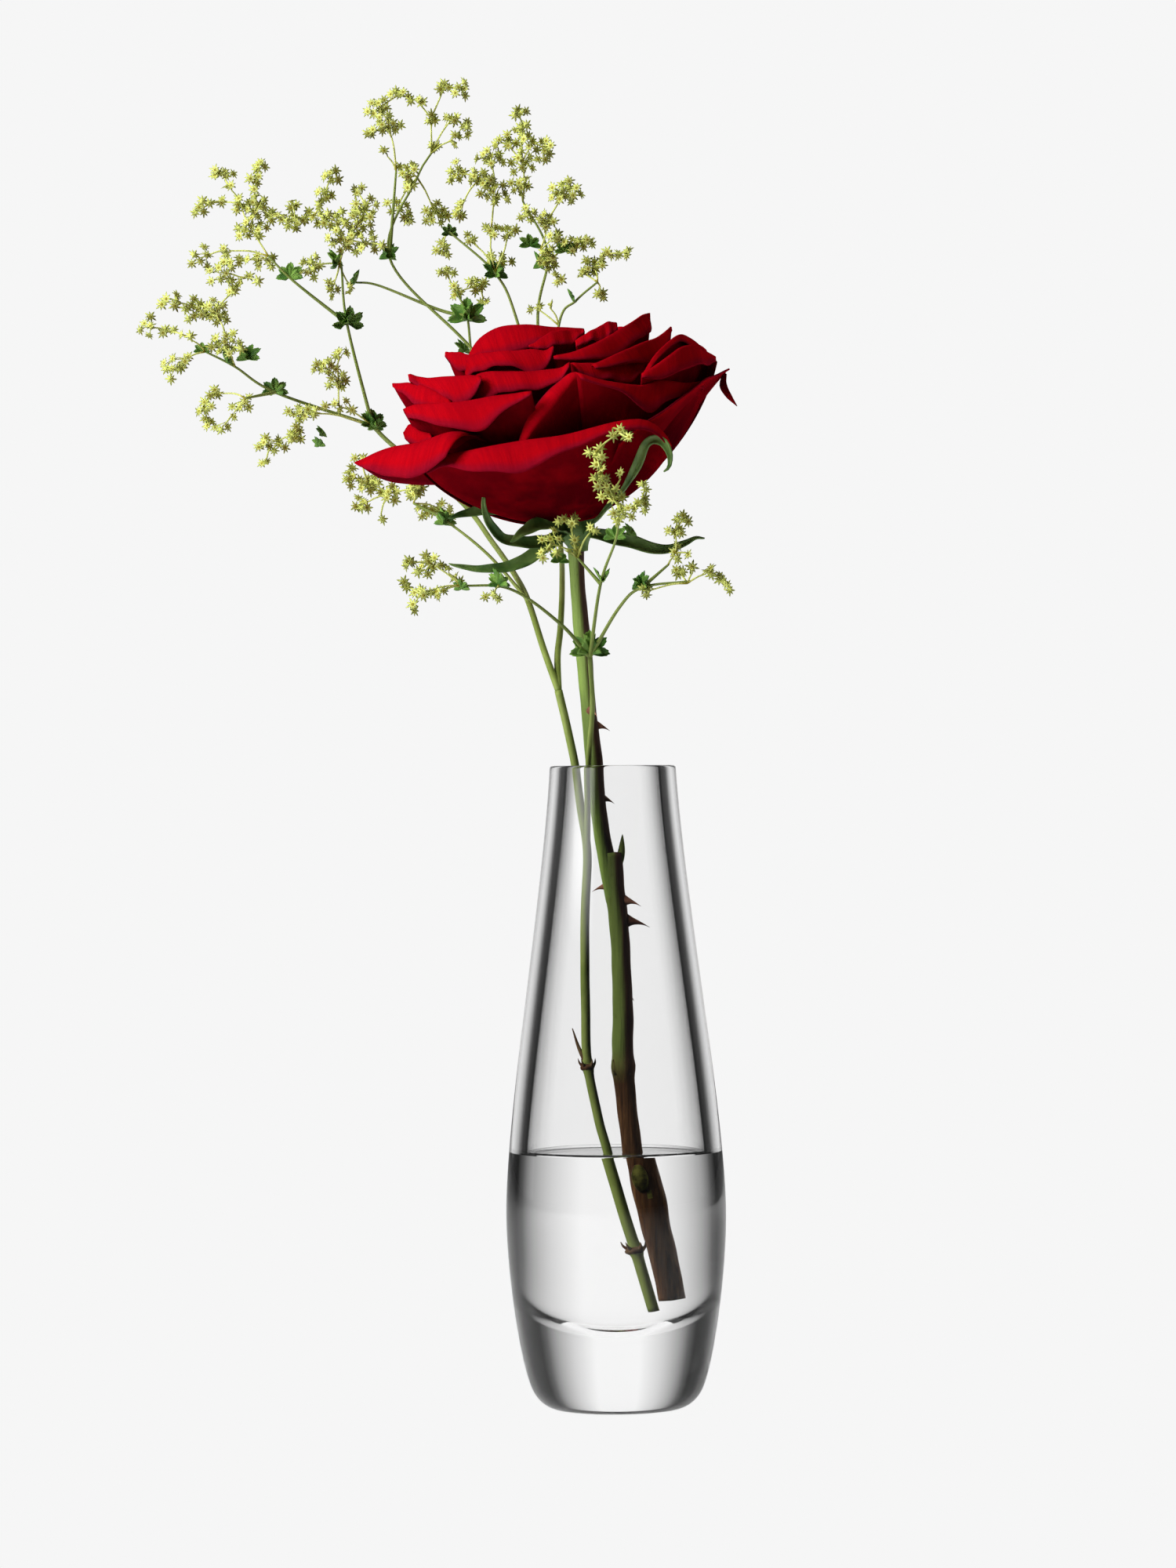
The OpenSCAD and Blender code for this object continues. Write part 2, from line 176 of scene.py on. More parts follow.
def piece(name, parts, body, nodes, materials, slot_of=None):
    """One Blender object from closed shapes, riding on a body and standing for CAD nodes.

    slot_of says for a face's centre, in millimetres, which of several materials it wears."""
    verts, faces, marks, base = [], [], {}, 0
    names = sorted({m for p in parts for m in p["marks"]})
    for p in parts:
        verts.append(p["v"])
        faces += [tuple(i + base for i in f) for f in p["f"]]
        for m in names:
            marks.setdefault(m, []).append(np.broadcast_to(p["marks"].get(m, 0.0), (len(p["v"]),)))
        base += len(p["v"])
    v = np.vstack(verts) * MM
    mesh = bpy.data.meshes.new(name)
    mesh.from_pydata(v.tolist(), [], faces)
    for m in names:
        values = np.concatenate(marks[m]).astype(np.float32)
        mesh.attributes.new(m, "FLOAT", "POINT").data.foreach_set("value", values)
    for mat in materials:
        mesh.materials.append(mat)
    mesh.polygons.foreach_set("use_smooth", [True] * len(mesh.polygons))
    if slot_of is not None:
        centre = np.zeros(len(mesh.polygons) * 3)
        mesh.polygons.foreach_get("center", centre)
        mesh.polygons.foreach_set("material_index", [slot_of(*c) for c in centre.reshape(-1, 3) / MM])
    mesh.update()
    o = bpy.data.objects.new(name, mesh)
    bpy.context.scene.collection.objects.link(o)
    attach(o, body)
    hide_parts(*nodes)
    return o


# ---------------------------------------------------------------- materials

def grey(level):
    """A neutral colour."""
    return (level, level, level)


class Nodes:
    """Short calls that add nodes to a tree. A value may be a number, a colour or another node's socket."""

    def __init__(self, tree):
        self.nt = tree

    def node(self, kind, inputs=(), **settings):
        n = self.nt.nodes.new(kind)
        for key, value in settings.items():
            setattr(n, key, value)
        for key, value in dict(inputs).items():
            self.feed(n.inputs[key], value)
        return n

    def feed(self, socket, value):
        if isinstance(value, bpy.types.NodeSocket):
            self.nt.links.new(value, socket)
        elif isinstance(value, tuple) and socket.type == "RGBA":
            socket.default_value = (*value[:3], 1)
        else:
            socket.default_value = value

    def place(self):
        return self.node("ShaderNodeTexCoord").outputs["Object"]

    def place_xyz(self):
        return self.node("ShaderNodeSeparateXYZ", {0: self.place()}).outputs

    def math(self, operation, a, b=0.0, c=0.0):
        return self.node("ShaderNodeMath", {0: a, 1: b, 2: c}, operation=operation).outputs[0]

    def share(self, value, low, high, top=1.0, **settings):
        """0 where value is at low, top where it is at high, and a slope between."""
        inputs = {"Value": value, "From Min": low, "From Max": high, "To Max": top}
        return self.node("ShaderNodeMapRange", inputs, **settings).outputs[0]

    def ramp(self, value, *stops, between="EASE"):
        """Colours at places on a value from 0 to 1."""
        n = self.node("ShaderNodeValToRGB", {"Fac": value})
        n.color_ramp.interpolation = between
        while len(n.color_ramp.elements) < len(stops):
            n.color_ramp.elements.new(0.5)
        for e, (at, colour) in zip(n.color_ramp.elements, stops):
            e.position, e.color = at, (*colour, 1)
        return n.outputs["Color"]

    def either(self, share, a, b):
        """Shader a where share is 0 and shader b where it is 1."""
        return self.node("ShaderNodeMixShader", {0: share, 1: a, 2: b}).outputs[0]

    def rays(self, kind):
        return self.node("ShaderNodeLightPath").outputs["Is %s Ray" % kind]


class Paint(Nodes):
    """A Principled material."""

    def __init__(self, name, **values):
        self.mat = bpy.data.materials.new(name)
        self.mat.use_nodes = True
        super().__init__(self.mat.node_tree)
        self.shader = self.nt.nodes["Principled BSDF"]
        self.out = self.nt.nodes["Material Output"]
        for key, value in values.items():
            self.feed(self.shader.inputs[key.replace("_", " ").title().replace("Ior", "IOR")], value)

    def mark(self, name):
        return self.node("ShaderNodeAttribute", attribute_name=name).outputs["Fac"]

    def stretched(self, x, y, z):
        """Object coordinates in stretched units: x, y and z are repeats per metre."""
        return self.node("ShaderNodeMapping", {"Vector": self.place(), "Scale": (x, y, z)}).outputs[0]

    def noise(self, where, scale=1.0, detail=3.0, rough=0.55):
        return self.node("ShaderNodeTexNoise", {"Vector": where, "Scale": scale, "Detail": detail,
                                                "Roughness": rough}).outputs["Fac"]

    def patches(self, value, low, high, top):
        """How much of a second colour shows: none below low, and the share top above high."""
        return self.ramp(value, (low, grey(0)), (high, grey(top)))

    def mix(self, share, a, b):
        inputs = {"Factor": share, 6: a, 7: b}
        return self.node("ShaderNodeMix", inputs, data_type="RGBA").outputs[2]

    def colour(self, socket):
        self.feed(self.shader.inputs["Base Color"], socket)

    def bump(self, height, depth, strength=1.0):
        n = self.node("ShaderNodeBump", {"Height": height, "Distance": depth, "Strength": strength})
        self.feed(self.shader.inputs["Normal"], n.outputs[0])

    def lamps_pass(self, tint=0.96):
        """Lets lamp light straight through, as clear glass does, instead of throwing a solid shadow."""
        clear = self.node("ShaderNodeBsdfTransparent", {"Color": grey(tint)}).outputs[0]
        self.feed(self.out.inputs[0], self.either(self.rays("Shadow"), self.shader.outputs[0], clear))


def glass_paint(name, ior):
    """Clear colourless glass with the faintest waviness of hand work."""
    p = Paint(name, transmission_weight=1.0, roughness=0.0, ior=ior, base_color=(1, 1, 1))
    p.bump(p.noise(p.stretched(18, 18, 9), detail=1.0), 0.00002, 0.35)
    p.lamps_pass()
    return p.mat


def clear_paint(name):
    """Lets everything past: the sides of the water, where the glass has already bent the light."""
    p = Paint(name, alpha=0.0, roughness=0.4)
    p.colour(p.ramp(p.noise(p.place(), 30.0), (0.3, (0.9, 0.95, 0.95)), (0.7, (1, 1, 1))))
    return p.mat


LAST_GUARD = 9  # petals numbered up to this are the outermost, whose backs lie in the light


def petal_paint():
    """Velvet crimson: veins that run to the rim, a slightly purple edge, and painted shade: dark toward each
    petal's foot and over the walls of the inner petals.
    """
    p = Paint("rose_petal", roughness=0.85, sheen_weight=0.015, sheen_roughness=0.4, specular_ior_level=0.0,
              sheen_tint=(1.0, 0.12, 0.14))
    along, across = p.mark("along"), p.mark("across")
    wide, long = p.math("MULTIPLY", across, 26.0), p.math("MULTIPLY", along, 1.6)
    fan = p.node("ShaderNodeCombineXYZ", {0: wide, 1: long, 2: p.mark("petal")})
    veins = p.noise(fan.outputs[0], 1.0, 4.0, 0.6)
    blotch = p.noise(p.place(), 95.0, 4.0)
    # Painted shade: the colour runs from near black at the foot, deep inside the bloom where shade falls, up
    # to full crimson on the flap; the very edge is slightly purple.
    base = p.ramp(along, (0.0, (0.02, 0.0, 0.002)), (0.3, (0.09, 0.0003, 0.003)),
                  (0.55, (0.19, 0.0008, 0.005)), (0.7, (0.36, 0.0012, 0.006)),
                  (0.9, (0.45, 0.0015, 0.006)), (0.985, (0.26, 0.004, 0.016)))
    # Painted shade: below the crest, the walls of the petals inside the guards are darkened nearly to black,
    # as if shaded by the petals round them.
    inner_wall_shade = p.ramp(along, (0.35, grey(0.75)), (0.63, grey(0)))
    within = p.math("GREATER_THAN", p.mark("petal"), LAST_GUARD + 0.5)
    base = p.mix(p.math("MULTIPLY", within, inner_wall_shade), base, (0.012, 0.0, 0.002))
    veined = p.mix(p.patches(veins, 0.3, 0.7, 0.3), base, (0.13, 0.0, 0.006))
    p.colour(p.mix(p.patches(blotch, 0.4, 0.75, 0.35), veined, (0.48, 0.002, 0.008)))
    grain = p.noise(p.place(), 2600.0, 2.0)
    p.bump(p.math("MULTIPLY_ADD", grain, 0.25, veins), 0.00025, 0.5)
    return p.mat


def stem_paint(name, left, right, brown_below, grain=160.0):
    """Green stem skin that goes dark red-brown on its right side, away from the key lamp: the red-brown is
    the skin's own tone, its darkness painted shade. Bark below a height in metres.
    """
    p = Paint(name, roughness=0.46, specular_ior_level=0.4)
    # Painted shade: side runs from the left, which faces the key lamp, to the right, which gets the dark
    # colour right.
    side = p.math("MULTIPLY_ADD", p.mark("side"), 0.5, 0.5)
    streaks = p.noise(p.stretched(grain * 9, grain * 9, grain * 0.35), 1.0, 4.0, 0.6)
    skin = p.mix(p.patches(p.math("MULTIPLY_ADD", streaks, 0.25, side), 0.55, 0.85, 1.0), left, right)
    bark = p.ramp(streaks, (0.25, (0.035, 0.014, 0.005)), (0.5, (0.13, 0.055, 0.018)),
                  (0.75, (0.27, 0.13, 0.045)))
    low = p.share(p.place_xyz()[2], brown_below + 0.006, brown_below - 0.004)
    freckle = p.noise(p.place(), 900.0, 2.0)
    p.colour(p.mix(p.patches(freckle, 0.58, 0.8, 0.22), p.mix(low, skin, bark), (0.05, 0.03, 0.01)))
    p.bump(streaks, 0.0006, 0.5)
    return p.mat


def leaf_paint(name, dark, light, rough=0.5, scale=220.0):
    """Leaf skin: two greens in soft patches, with a fine grain."""
    p = Paint(name, roughness=rough, specular_ior_level=0.35)
    patch = p.noise(p.place(), scale, 3.0)
    p.colour(p.ramp(patch, (0.32, dark), (0.68, light)))
    p.bump(p.noise(p.place(), scale * 8, 2.0), 0.0002, 0.4)
    return p.mat


def floret_paint():
    """Yellow-green florets: brownish in the middle, pale round it, and duller in patches."""
    p = Paint("floret", roughness=0.6, specular_ior_level=0.25)
    patch = p.noise(p.place(), 260.0, 2.0)
    star = p.ramp(p.mark("along"), (0.0, (0.34, 0.3, 0.03)), (0.1, (0.34, 0.3, 0.03)),
                  (0.22, (0.8, 0.8, 0.24)), (0.4, (0.78, 0.84, 0.24)), (1.0, (0.66, 0.72, 0.17)))
    p.colour(p.mix(p.patches(patch, 0.5, 0.7, 0.8), star, (0.33, 0.36, 0.05)))
    return p.mat


# ---------------------------------------------------------------- the vase and its water

RIM_Z, RIM_OUT, RIM_IN = 174.2, 17.2, 12.4  # where the lip's rounding starts
LIP = 0.8  # radius of that rounding
WIDE_Z, WIDE_OUT, WIDE_IN = 53, 29.9, 25.1  # where the vase is widest, outside and inside
FLOOR_Z, WATER_Z = 21.5, 69.5
FILM = 0.02  # the gap that keeps the water's side off the glass
OUTER = np.vstack([[[0, 0], [15, 0]], cubic([15, 0], [19.5, 0], [22.2, 3], [23.4, 6], 14),
                   cubic([23.4, 6], [26.4, 13], [WIDE_OUT, 37], [WIDE_OUT, WIDE_Z], 28),
                   cubic([WIDE_OUT, WIDE_Z], [WIDE_OUT, 80], [RIM_OUT + 2, 140], [RIM_OUT, RIM_Z], 64)])
INNER = np.vstack([[[0, FLOOR_Z]],
                   cubic([0, FLOOR_Z], [17.5, FLOOR_Z], [WIDE_IN, 33], [WIDE_IN, WIDE_Z], 40),
                   cubic([WIDE_IN, WIDE_Z], [WIDE_IN, 80], [RIM_IN + 2, 140], [RIM_IN, RIM_Z], 64)])


def hollow(z):
    """The hollow's radius at a height."""
    return np.interp(z, INNER[:, 1], INNER[:, 0])


def build_vase(glass, wet):
    """The thick glass. Its inside below the water line wears the material of glass that water wets."""
    turns = np.linspace(0.2, 1.57, 7)
    lip = [[RIM_OUT - LIP + LIP * math.cos(a), RIM_Z + LIP * math.sin(a)] for a in turns]
    lip += [[RIM_IN + LIP - LIP * math.cos(a), RIM_Z + LIP * math.sin(a)] for a in turns[::-1]]
    outline = np.vstack([OUTER, lip, INNER[::-1]])

    def which(x, y, z):
        inside = math.hypot(x, y) < hollow(z) + 0.6
        return 1 if inside and 20 < z < WATER_Z + 0.6 else 0

    body = lathe(outline, 288)
    return piece("vase_body", [body], "vase", ["vase_glass"], [glass, wet], which)


def build_water(water, clear):
    """The water, which creeps up the glass at its edge. Its sides wear the clear material."""
    wall = INNER[INNER[:, 1] < WATER_Z]
    edge = hollow(WATER_Z) - FILM
    creep = [[edge - d, WATER_Z + 0.9 * math.exp(-d / 0.8)] for d in (0, 0.25, 0.5, 0.9, 1.4, 2.2, 3.5, 5.0)]
    outline = np.vstack([wall - [FILM, 0], creep, [[10, WATER_Z], [0, WATER_Z]]])
    outline[0] = [0, FLOOR_Z + FILM]
    return piece("vase_water", [lathe(outline, 192)], "vase", ["water"], [water, clear],
                 lambda x, y, z: 0 if z > WATER_Z - 0.3 else 1)


# ---------------------------------------------------------------- stems

# Routes of the stems, from their cut ends up. ARMS are the thinner limbs of the branch before them.
CANE = [[11.2, 2.5, 29.5], [9.6, 2.8, 40], [7.2, 3.2, 54], [4.6, 3.4, 70], [3, 3.5, 84], [2.2, 3.5, 94],
        [2.3, 3.5, 106], [2, 3.5, 120], [1.2, 3.5, 134], [0.2, 3.5, 142], [-0.2, 3.5, 151]]
HIP = [-9.8, 0, 240]
STEM = [[0.4, 3.5, 138], [-1.6, 3.5, 148], [-3.4, 3.5, 158], [-4.6, 3.5, 168], [-5.2, 3.5, 178],
        [-6.4, 3.2, 190], [-7.6, 2.6, 206], [-9, 1.2, 222], HIP]
SIDE_SHOOT = [[1, 3.5, 147], [2.2, 3.2, 151], [2.6, 3, 156]]
FORK, LEFT_FORK, BACK_FORK, FRONT_FORK = [-14.6, -1, 195.5], [-67, 66, 272], [-17, 66, 267], [-6, -24, 204]
MAIN = [[7.8, -3, 26.7], [6.2, -3, 34], [4, -3, 44], [0.8, -3, 57], [-2.2, -3, 70], [-4.6, -3, 79],
        [-7.4, -3, 94], [-7.8, -3, 108], [-7.8, -2.6, 132], [-7, -2.4, 151], [-8.6, -1.6, 163],
        [-10.2, -1, 175], [-12.2, -1, 185], FORK]
LEFT = [FORK, [-18.6, 8, 207], [-23, 26, 221], [-27, 40, 229], [-33, 50, 238], [-42, 58, 250],
        [-61, 64, 266], LEFT_FORK]
LEFT_ARMS = [[LEFT_FORK, [-74, 66, 301], [-75.5, 66, 318]],
             [[-74, 66, 301], [-89, 64, 313], [-96, 63, 320]],
             [LEFT_FORK, [-94, 56, 281], [-105, 52, 288], [-113, 48, 292]],
             [[-94, 56, 281], [-102, 50, 279]],
             [[-23, 26, 221], [-34, 38, 234], [-46, 46, 244], [-55, 48, 249]]]
BACK = [FORK, [-14.8, 8, 205], [-14, 18, 213], [-13.5, 36, 226], [-14, 54, 238], BACK_FORK]
BACK_ARMS = [[BACK_FORK, [-39, 68, 294], [-62, 72, 320], [-54, 74, 343], [-50, 75, 350]],
             [[-62, 72, 320], [-60, 74, 345]],
             [[-40, 68, 303], [-48, 70, 305], [-65, 70, 312], [-72, 70, 313]],
             [BACK_FORK, [-31, 67, 276], [-38, 68, 288], [-40, 68, 303], [-43, 69, 310]],
             [BACK_FORK, [-26, 66, 302], [-32, 66, 315], [-45, 67, 327]],
             [BACK_FORK, [-20, 70, 302], [-17, 72, 321], [-24, 73, 336]],
             [BACK_FORK, [-14, 66, 300], [-9, 66, 307], [-3, 64, 312]]]
FRONT = [[-7, -2.4, 151], [-6.7, -4, 164], [-6.6, -6, 176], [-5.4, -14, 191], FRONT_FORK]
FRONT_ARMS = [[FRONT_FORK, [-14, -30, 213], [-27, -36, 222], [-40, -38, 223]],
              [FRONT_FORK, [-3, -42, 223], [1, -54, 234], [2, -58, 241]],
              [FRONT_FORK, [2, -34, 217], [8, -40, 222], [20, -42, 223.5]],
              [[-3, -42, 223], [-9, -40, 230]],
              [[8, -40, 222], [15, -40, 228]]]


def knot(z, at, reach):
    """A swelling of 1 at a height, that dies away over the reach above and below it."""
    return np.exp(-((z - at) / reach) ** 2)


def build_cane(paint, scar_paint):
    """The woody cane with its joints, a green bud scar and a knob."""
    path = smooth(CANE, 110)
    z = path[:, 2]
    r = 2.85 + 0.5 * knot(z, 92.5, 2.2) + 0.25 * knot(z, 58, 5) + 0.1 * np.sin(z / 7)
    r *= 1 - 0.06 * ease(96, 140, z)
    scar = smooth([[4.4, 0.7, 66], [4.9, 0.3, 62.5], [5.5, 0.5, 59]], 14)
    bud = tube(scar, 1.7 * np.sin(np.linspace(0.25, 2.9, 14)) ** 0.6, 18)
    knob = tube([[1, 2.4, 91.2], [0.1, 2, 93], [-0.6, 1.8, 94.6]], [1.6, 1.2, 0.4], 14)
    cane = tube(path, r, 40, dome=0.12, rough=0.018)
    return piece("rose_cane", [cane, bud, knob], "rose", ["rose_cane"], [paint, scar_paint],
                 lambda x, y, z: 1 if y < 0.2 and 57 < z < 68 else 0)


def build_stem(paint):
    """The green flowering stem from the cane to the hip."""
    path = smooth(STEM, 110)
    z = path[:, 2]
    r = 2.4 - 0.25 * ease(150, 200, z) + 0.2 * ease(228, 240, z) + 0.12 * np.sin(z / 5.3)
    return piece("rose_stem", [tube(path, r, 36, rough=0.012)], "rose", ["rose_stem"], [paint])


def build_side_shoot(paint):
    """The little pointed shoot at the top of the cane."""
    shoot = tube(smooth(SIDE_SHOOT, 16), 1.15 * (1 - np.linspace(0, 1, 16) ** 2.2) + 0.12, 16)
    return piece("rose_side_shoot", [shoot], "rose", ["rose_side_shoot"], [paint])


def thorn(foot, way, length):
    """A hooked thorn whose foot is drawn out up and down the stem."""
    foot = np.asarray(foot, float)
    s = np.linspace(0, 1, 12)[:, None]
    path = foot + unit(way) * length * s + np.array([0, 0, -1.5]) * s ** 2.2
    t = tube(path, 1.35 * (1 - s[:, 0]) ** 1.5 + 0.04, 16, dome=0.2)
    off_axis = np.linalg.norm(t["v"][:, :2] - foot[:2], axis=1)
    t["v"][:, 2] = foot[2] + (t["v"][:, 2] - foot[2]) * (1 + 0.55 * np.exp(-off_axis / 1.6))
    return t


# Each thorn: its foot, the way it points and its length.
THORNS = [([-3.6, 3.5, 166], [1, 0, 0], 4.0), ([-1, 3.5, 142], [-1, 0, 0], 5.0),
          ([2.6, 3, 138], [1, -0.4, 0], 5.2), ([3.6, 3.5, 132.5], [1, 0, -0.05], 6.4),
          ([3.4, 4.2, 112], [0.5, 0.9, 0], 4.4), ([-6, 2, 190], [0.5, -1, 0], 4.0),
          ([-5, 3.4, 186], [1, 0.2, 0], 4.4), ([-8, 3, 206], [-0.4, 1, 0], 4.4),
          ([3.2, 4, 120], [0.4, 1, 0], 4.4)]


def build_thorns(paint):
    return piece("rose_thorns", [thorn(*t) for t in THORNS], "rose", ["rose_thorns"], [paint])


def build_sprig(green):
    """The main stem with its joints, and the three branches with their thinner arms."""
    main = smooth(MAIN, 120)
    z = main[:, 2]
    r = 1.25 + 0.45 * knot(z, 44, 1.2) + 0.4 * knot(z, 93, 1.5) - 0.15 * ease(100, 190, z)
    stem = tube(main, r, 28, dome=0.15, rough=0.01)
    piece("sprig_main_stem", [stem], "sprig", ["sprig_main_stem"], [green])
    for name, trunk, arms, start in (("sprig_left_branch", LEFT, LEFT_ARMS, 0.95),
                                     ("sprig_back_branch", BACK, BACK_ARMS, 0.95),
                                     ("sprig_front_branch", FRONT, FRONT_ARMS, 0.85)):
        limbs = [tube(smooth(trunk, 70), np.linspace(start, 0.62, 70), 16)]
        for arm in arms:
            limbs.append(tube(smooth(arm, 48), np.linspace(0.55, 0.3, 48), 12))
        piece(name, limbs, "sprig", [name], [green])


def build_bracts(paint):
    """The dry brown collars at the sprig's two joints, and the dead side shoot."""
    parts = []
    for centre, way, size in (([4, -3, 44], [-0.24, 0, 1], 1.0), ([-7.3, -3, 93], [-0.15, 0, 1], 0.9)):
        up = unit(way)
        ring = [np.asarray(centre, float) + up * h for h in (-0.9, -0.3, 0.3, 0.9)]
        parts.append(tube(ring, np.array([1.5, 2.15, 2.2, 1.6]) * size, 20, rough=0.04))
        for k in range(5):
            out = heading(72 * k + 20, 0.0)
            tip = [np.asarray(centre, float) + out * d * size + up * h
                   for d, h in ((1.5, 0.2), (2.4, 1.1), (2.7, 2.3))]
            parts.append(tube(smooth(tip, 8), np.linspace(0.55, 0.08, 8), 8))
    parts.append(tube(smooth([[-7.2, -3.2, 93.2], [-9.6, -3, 98], [-11.4, -2.6, 103.5]], 14),
                      np.linspace(0.85, 0.15, 14), 10))
    return piece("sprig_bracts", parts, "sprig", ["sprig_bracts"], [paint])


# ---------------------------------------------------------------- sprig leaves and florets

def turned(points, x_turn, z_turn):
    """Points tipped about x and then swung about z, in degrees."""
    a, b = math.radians(x_turn), math.radians(z_turn)
    x = np.array([[1, 0, 0], [0, math.cos(a), -math.sin(a)], [0, math.sin(a), math.cos(a)]])
    z = np.array([[math.cos(b), -math.sin(b), 0], [math.sin(b), math.cos(b), 0], [0, 0, 1]])
    return points @ (z @ x).T


LEAF_SPREAD, LEAF_LOBES = 118, 5  # degrees from its middle to its side, and how many lobes


def lobed_leaf(place, x_turn, z_turn, size, seed):
    """A fan-shaped leaf of pointed, toothed lobes, creased along each lobe."""
    turns = np.linspace(-LEAF_SPREAD, LEAF_SPREAD, 20 * LEAF_LOBES + 1)
    lobe = (turns + LEAF_SPREAD) / (2 * LEAF_SPREAD) * LEAF_LOBES % 1.0
    off = np.abs(2 * lobe - 1)
    teeth = np.abs((off * 2.5) % 1.0 - 0.5) * 2
    shorter_aside = 1 - 0.24 * (turns / LEAF_SPREAD) ** 2
    reach = size * (1 - 0.36 * off ** 1.5 + 0.1 * teeth * (1 - off)) * shorter_aside
    rows = np.linspace(0.03, 1, 9)
    grid = np.zeros((9, len(turns), 3))
    for i, s in enumerate(rows):
        grid[i, :, 0] = np.sin(np.radians(turns)) * reach * s
        grid[i, :, 1] = np.cos(np.radians(turns)) * reach * s
        grid[i, :, 2] = size * (0.2 * s * s + 0.16 * s * (off - 0.5) + 0.1 * s * s * math.sin(seed))
    grid = turned(grid, x_turn, z_turn) + np.asarray(place, float)
    return shell(grid, 0.2, *np.meshgrid(np.linspace(-1, 1, len(turns)), rows))


# Each joint: its place, and for each leaf there its tip about x, its swing about z and its size.
LEAVES = [
    ([-6, -24, 205], [(72, 0, 6.0), (60, 120, 5.0), (60, -120, 5.0)]),
    ([1, -44, 235], [(70, -20, 3.6)]), ([5, -44, 236], [(60, 60, 3.2)]),
    ([-3, -42, 224], [(60, 90, 3.6)]), ([-2, -42, 224], [(60, -80, 3.2)]),
    ([8, -40, 222], [(70, -60, 4.2), (55, 40, 3.4)]), ([-14, -37, 229], [(60, 30, 3.2)]),
    ([-30, -37, 223], [(65, 120, 4.6), (60, 10, 3.4)]), ([-40, -38, 222], [(60, 150, 2.8)]),
    ([-46, 46, 243], [(62, 70, 4.8), (55, 190, 3.6)]),
    ([-67, 66, 272], [(70, 30, 4.6), (60, 100, 4.4)]), ([-66, 65, 271], [(60, 220, 3.2)]),
    ([-81, 60, 269], [(60, 70, 3.0)]), ([-82, 60, 266], [(55, 130, 2.8)]),
    ([-74, 66, 301], [(110, 20, 5.2), (60, -70, 4.2), (75, 60, 4.0)]),
    ([-94, 56, 281], [(72, 10, 4.2), (100, 150, 3.2)]),
    ([-101, 51, 290], [(62, -30, 4.4), (62, 60, 3.6)]), ([-107, 50, 289], [(60, 80, 3.8)]),
    ([-114, 48, 292], [(70, 0, 2.6)]), ([-90, 64, 314], [(70, -10, 4.4), (90, 160, 3.2)]),
    ([-77, 66, 318], [(60, 70, 4.4)]), ([-77, 66, 317], [(60, -90, 4.2)]),
    ([-72, 70, 312.5], [(60, -80, 4.0)]), ([-62, 72, 320], [(60, -50, 4.2), (60, 70, 4.2)]),
    ([-41, 70, 293], [(60, 60, 4.0)]),
    ([-40, 68, 302], [(75, 0, 6.2), (60, 90, 4.6), (60, -90, 4.6)]),
    ([-45, 67, 326], [(80, 30, 3.0)]), ([-32, 66, 314], [(66, 40, 4.8), (60, -60, 3.6)]),
    ([-22, 72, 323], [(66, 20, 3.8)]), ([-19, 72, 317], [(62, 90, 4.6), (62, -60, 3.4)]),
    ([-12, 68, 321], [(80, 0, 3.4)]), ([-10, 66, 307], [(60, 90, 3.4)])]


def build_leaves(paint):
    leaves = [(place, *leaf) for place, fans in LEAVES for leaf in fans]
    parts = [lobed_leaf(*leaf, seed) for seed, leaf in enumerate(leaves)]
    return piece("sprig_leaves", parts, "sprig", ["sprig_leaves"], [paint])


# One point of a floret's star: how far out and how far round its outline runs, valley to tip to valley.
STAR_POINT = ((0.4, -22.5), (0.74, -9.5), (1.0, 0.0), (0.74, 9.5))
STAR_POINTS = 8


def floret(centre, facing, size, spin):
    """A flat eight-pointed star with a raised middle, on its short cup. Every other point is smaller."""
    f = unit(facing)
    a = unit(np.cross(f, [0.3, 0.2, 0.93]))
    b = np.cross(f, a)
    c = np.asarray(centre, float)
    n = len(STAR_POINT) * STAR_POINTS

    def ring(radius, lift, star=0.0):
        out = []
        for k in range(n):
            reach, turn = STAR_POINT[k % len(STAR_POINT)]
            smaller = 0.84 if (k // len(STAR_POINT)) % 2 and reach > 0.5 else 1.0
            t = math.radians(360 / STAR_POINTS * (k // len(STAR_POINT)) + turn) + spin
            r = radius * (1 - star + star * reach * smaller)
            out.append(c + (a * math.cos(t) + b * math.sin(t)) * r * size + f * lift * size)
        return out

    verts, along = [c + f * size * 0.12], [0.0]
    for radius, lift, star, mark in ((0.15, 0.1, 0, 0.05), (0.3, 0.02, 0, 0.3), (1.0, 0.12, 1, 1.0),
                                     (0.26, -0.08, 0, 0.7), (0.15, -0.36, 0, 0.8)):
        verts += ring(radius, lift, star)
        along += [mark] * n
    verts.append(c - f * size * 0.52)
    along.append(0.8)
    faces = []
    for k in range(n):
        m = (k + 1) % n
        faces.append((0, 1 + k, 1 + m))
        for step in range(4):
            p, q = 1 + n * step, 1 + n * (step + 1)
            faces.append((p + k, q + k, q + m, p + m))
        faces.append((1 + 4 * n + k, 1 + 5 * n, 1 + 4 * n + m))
    return part(verts, faces, along=np.array(along))


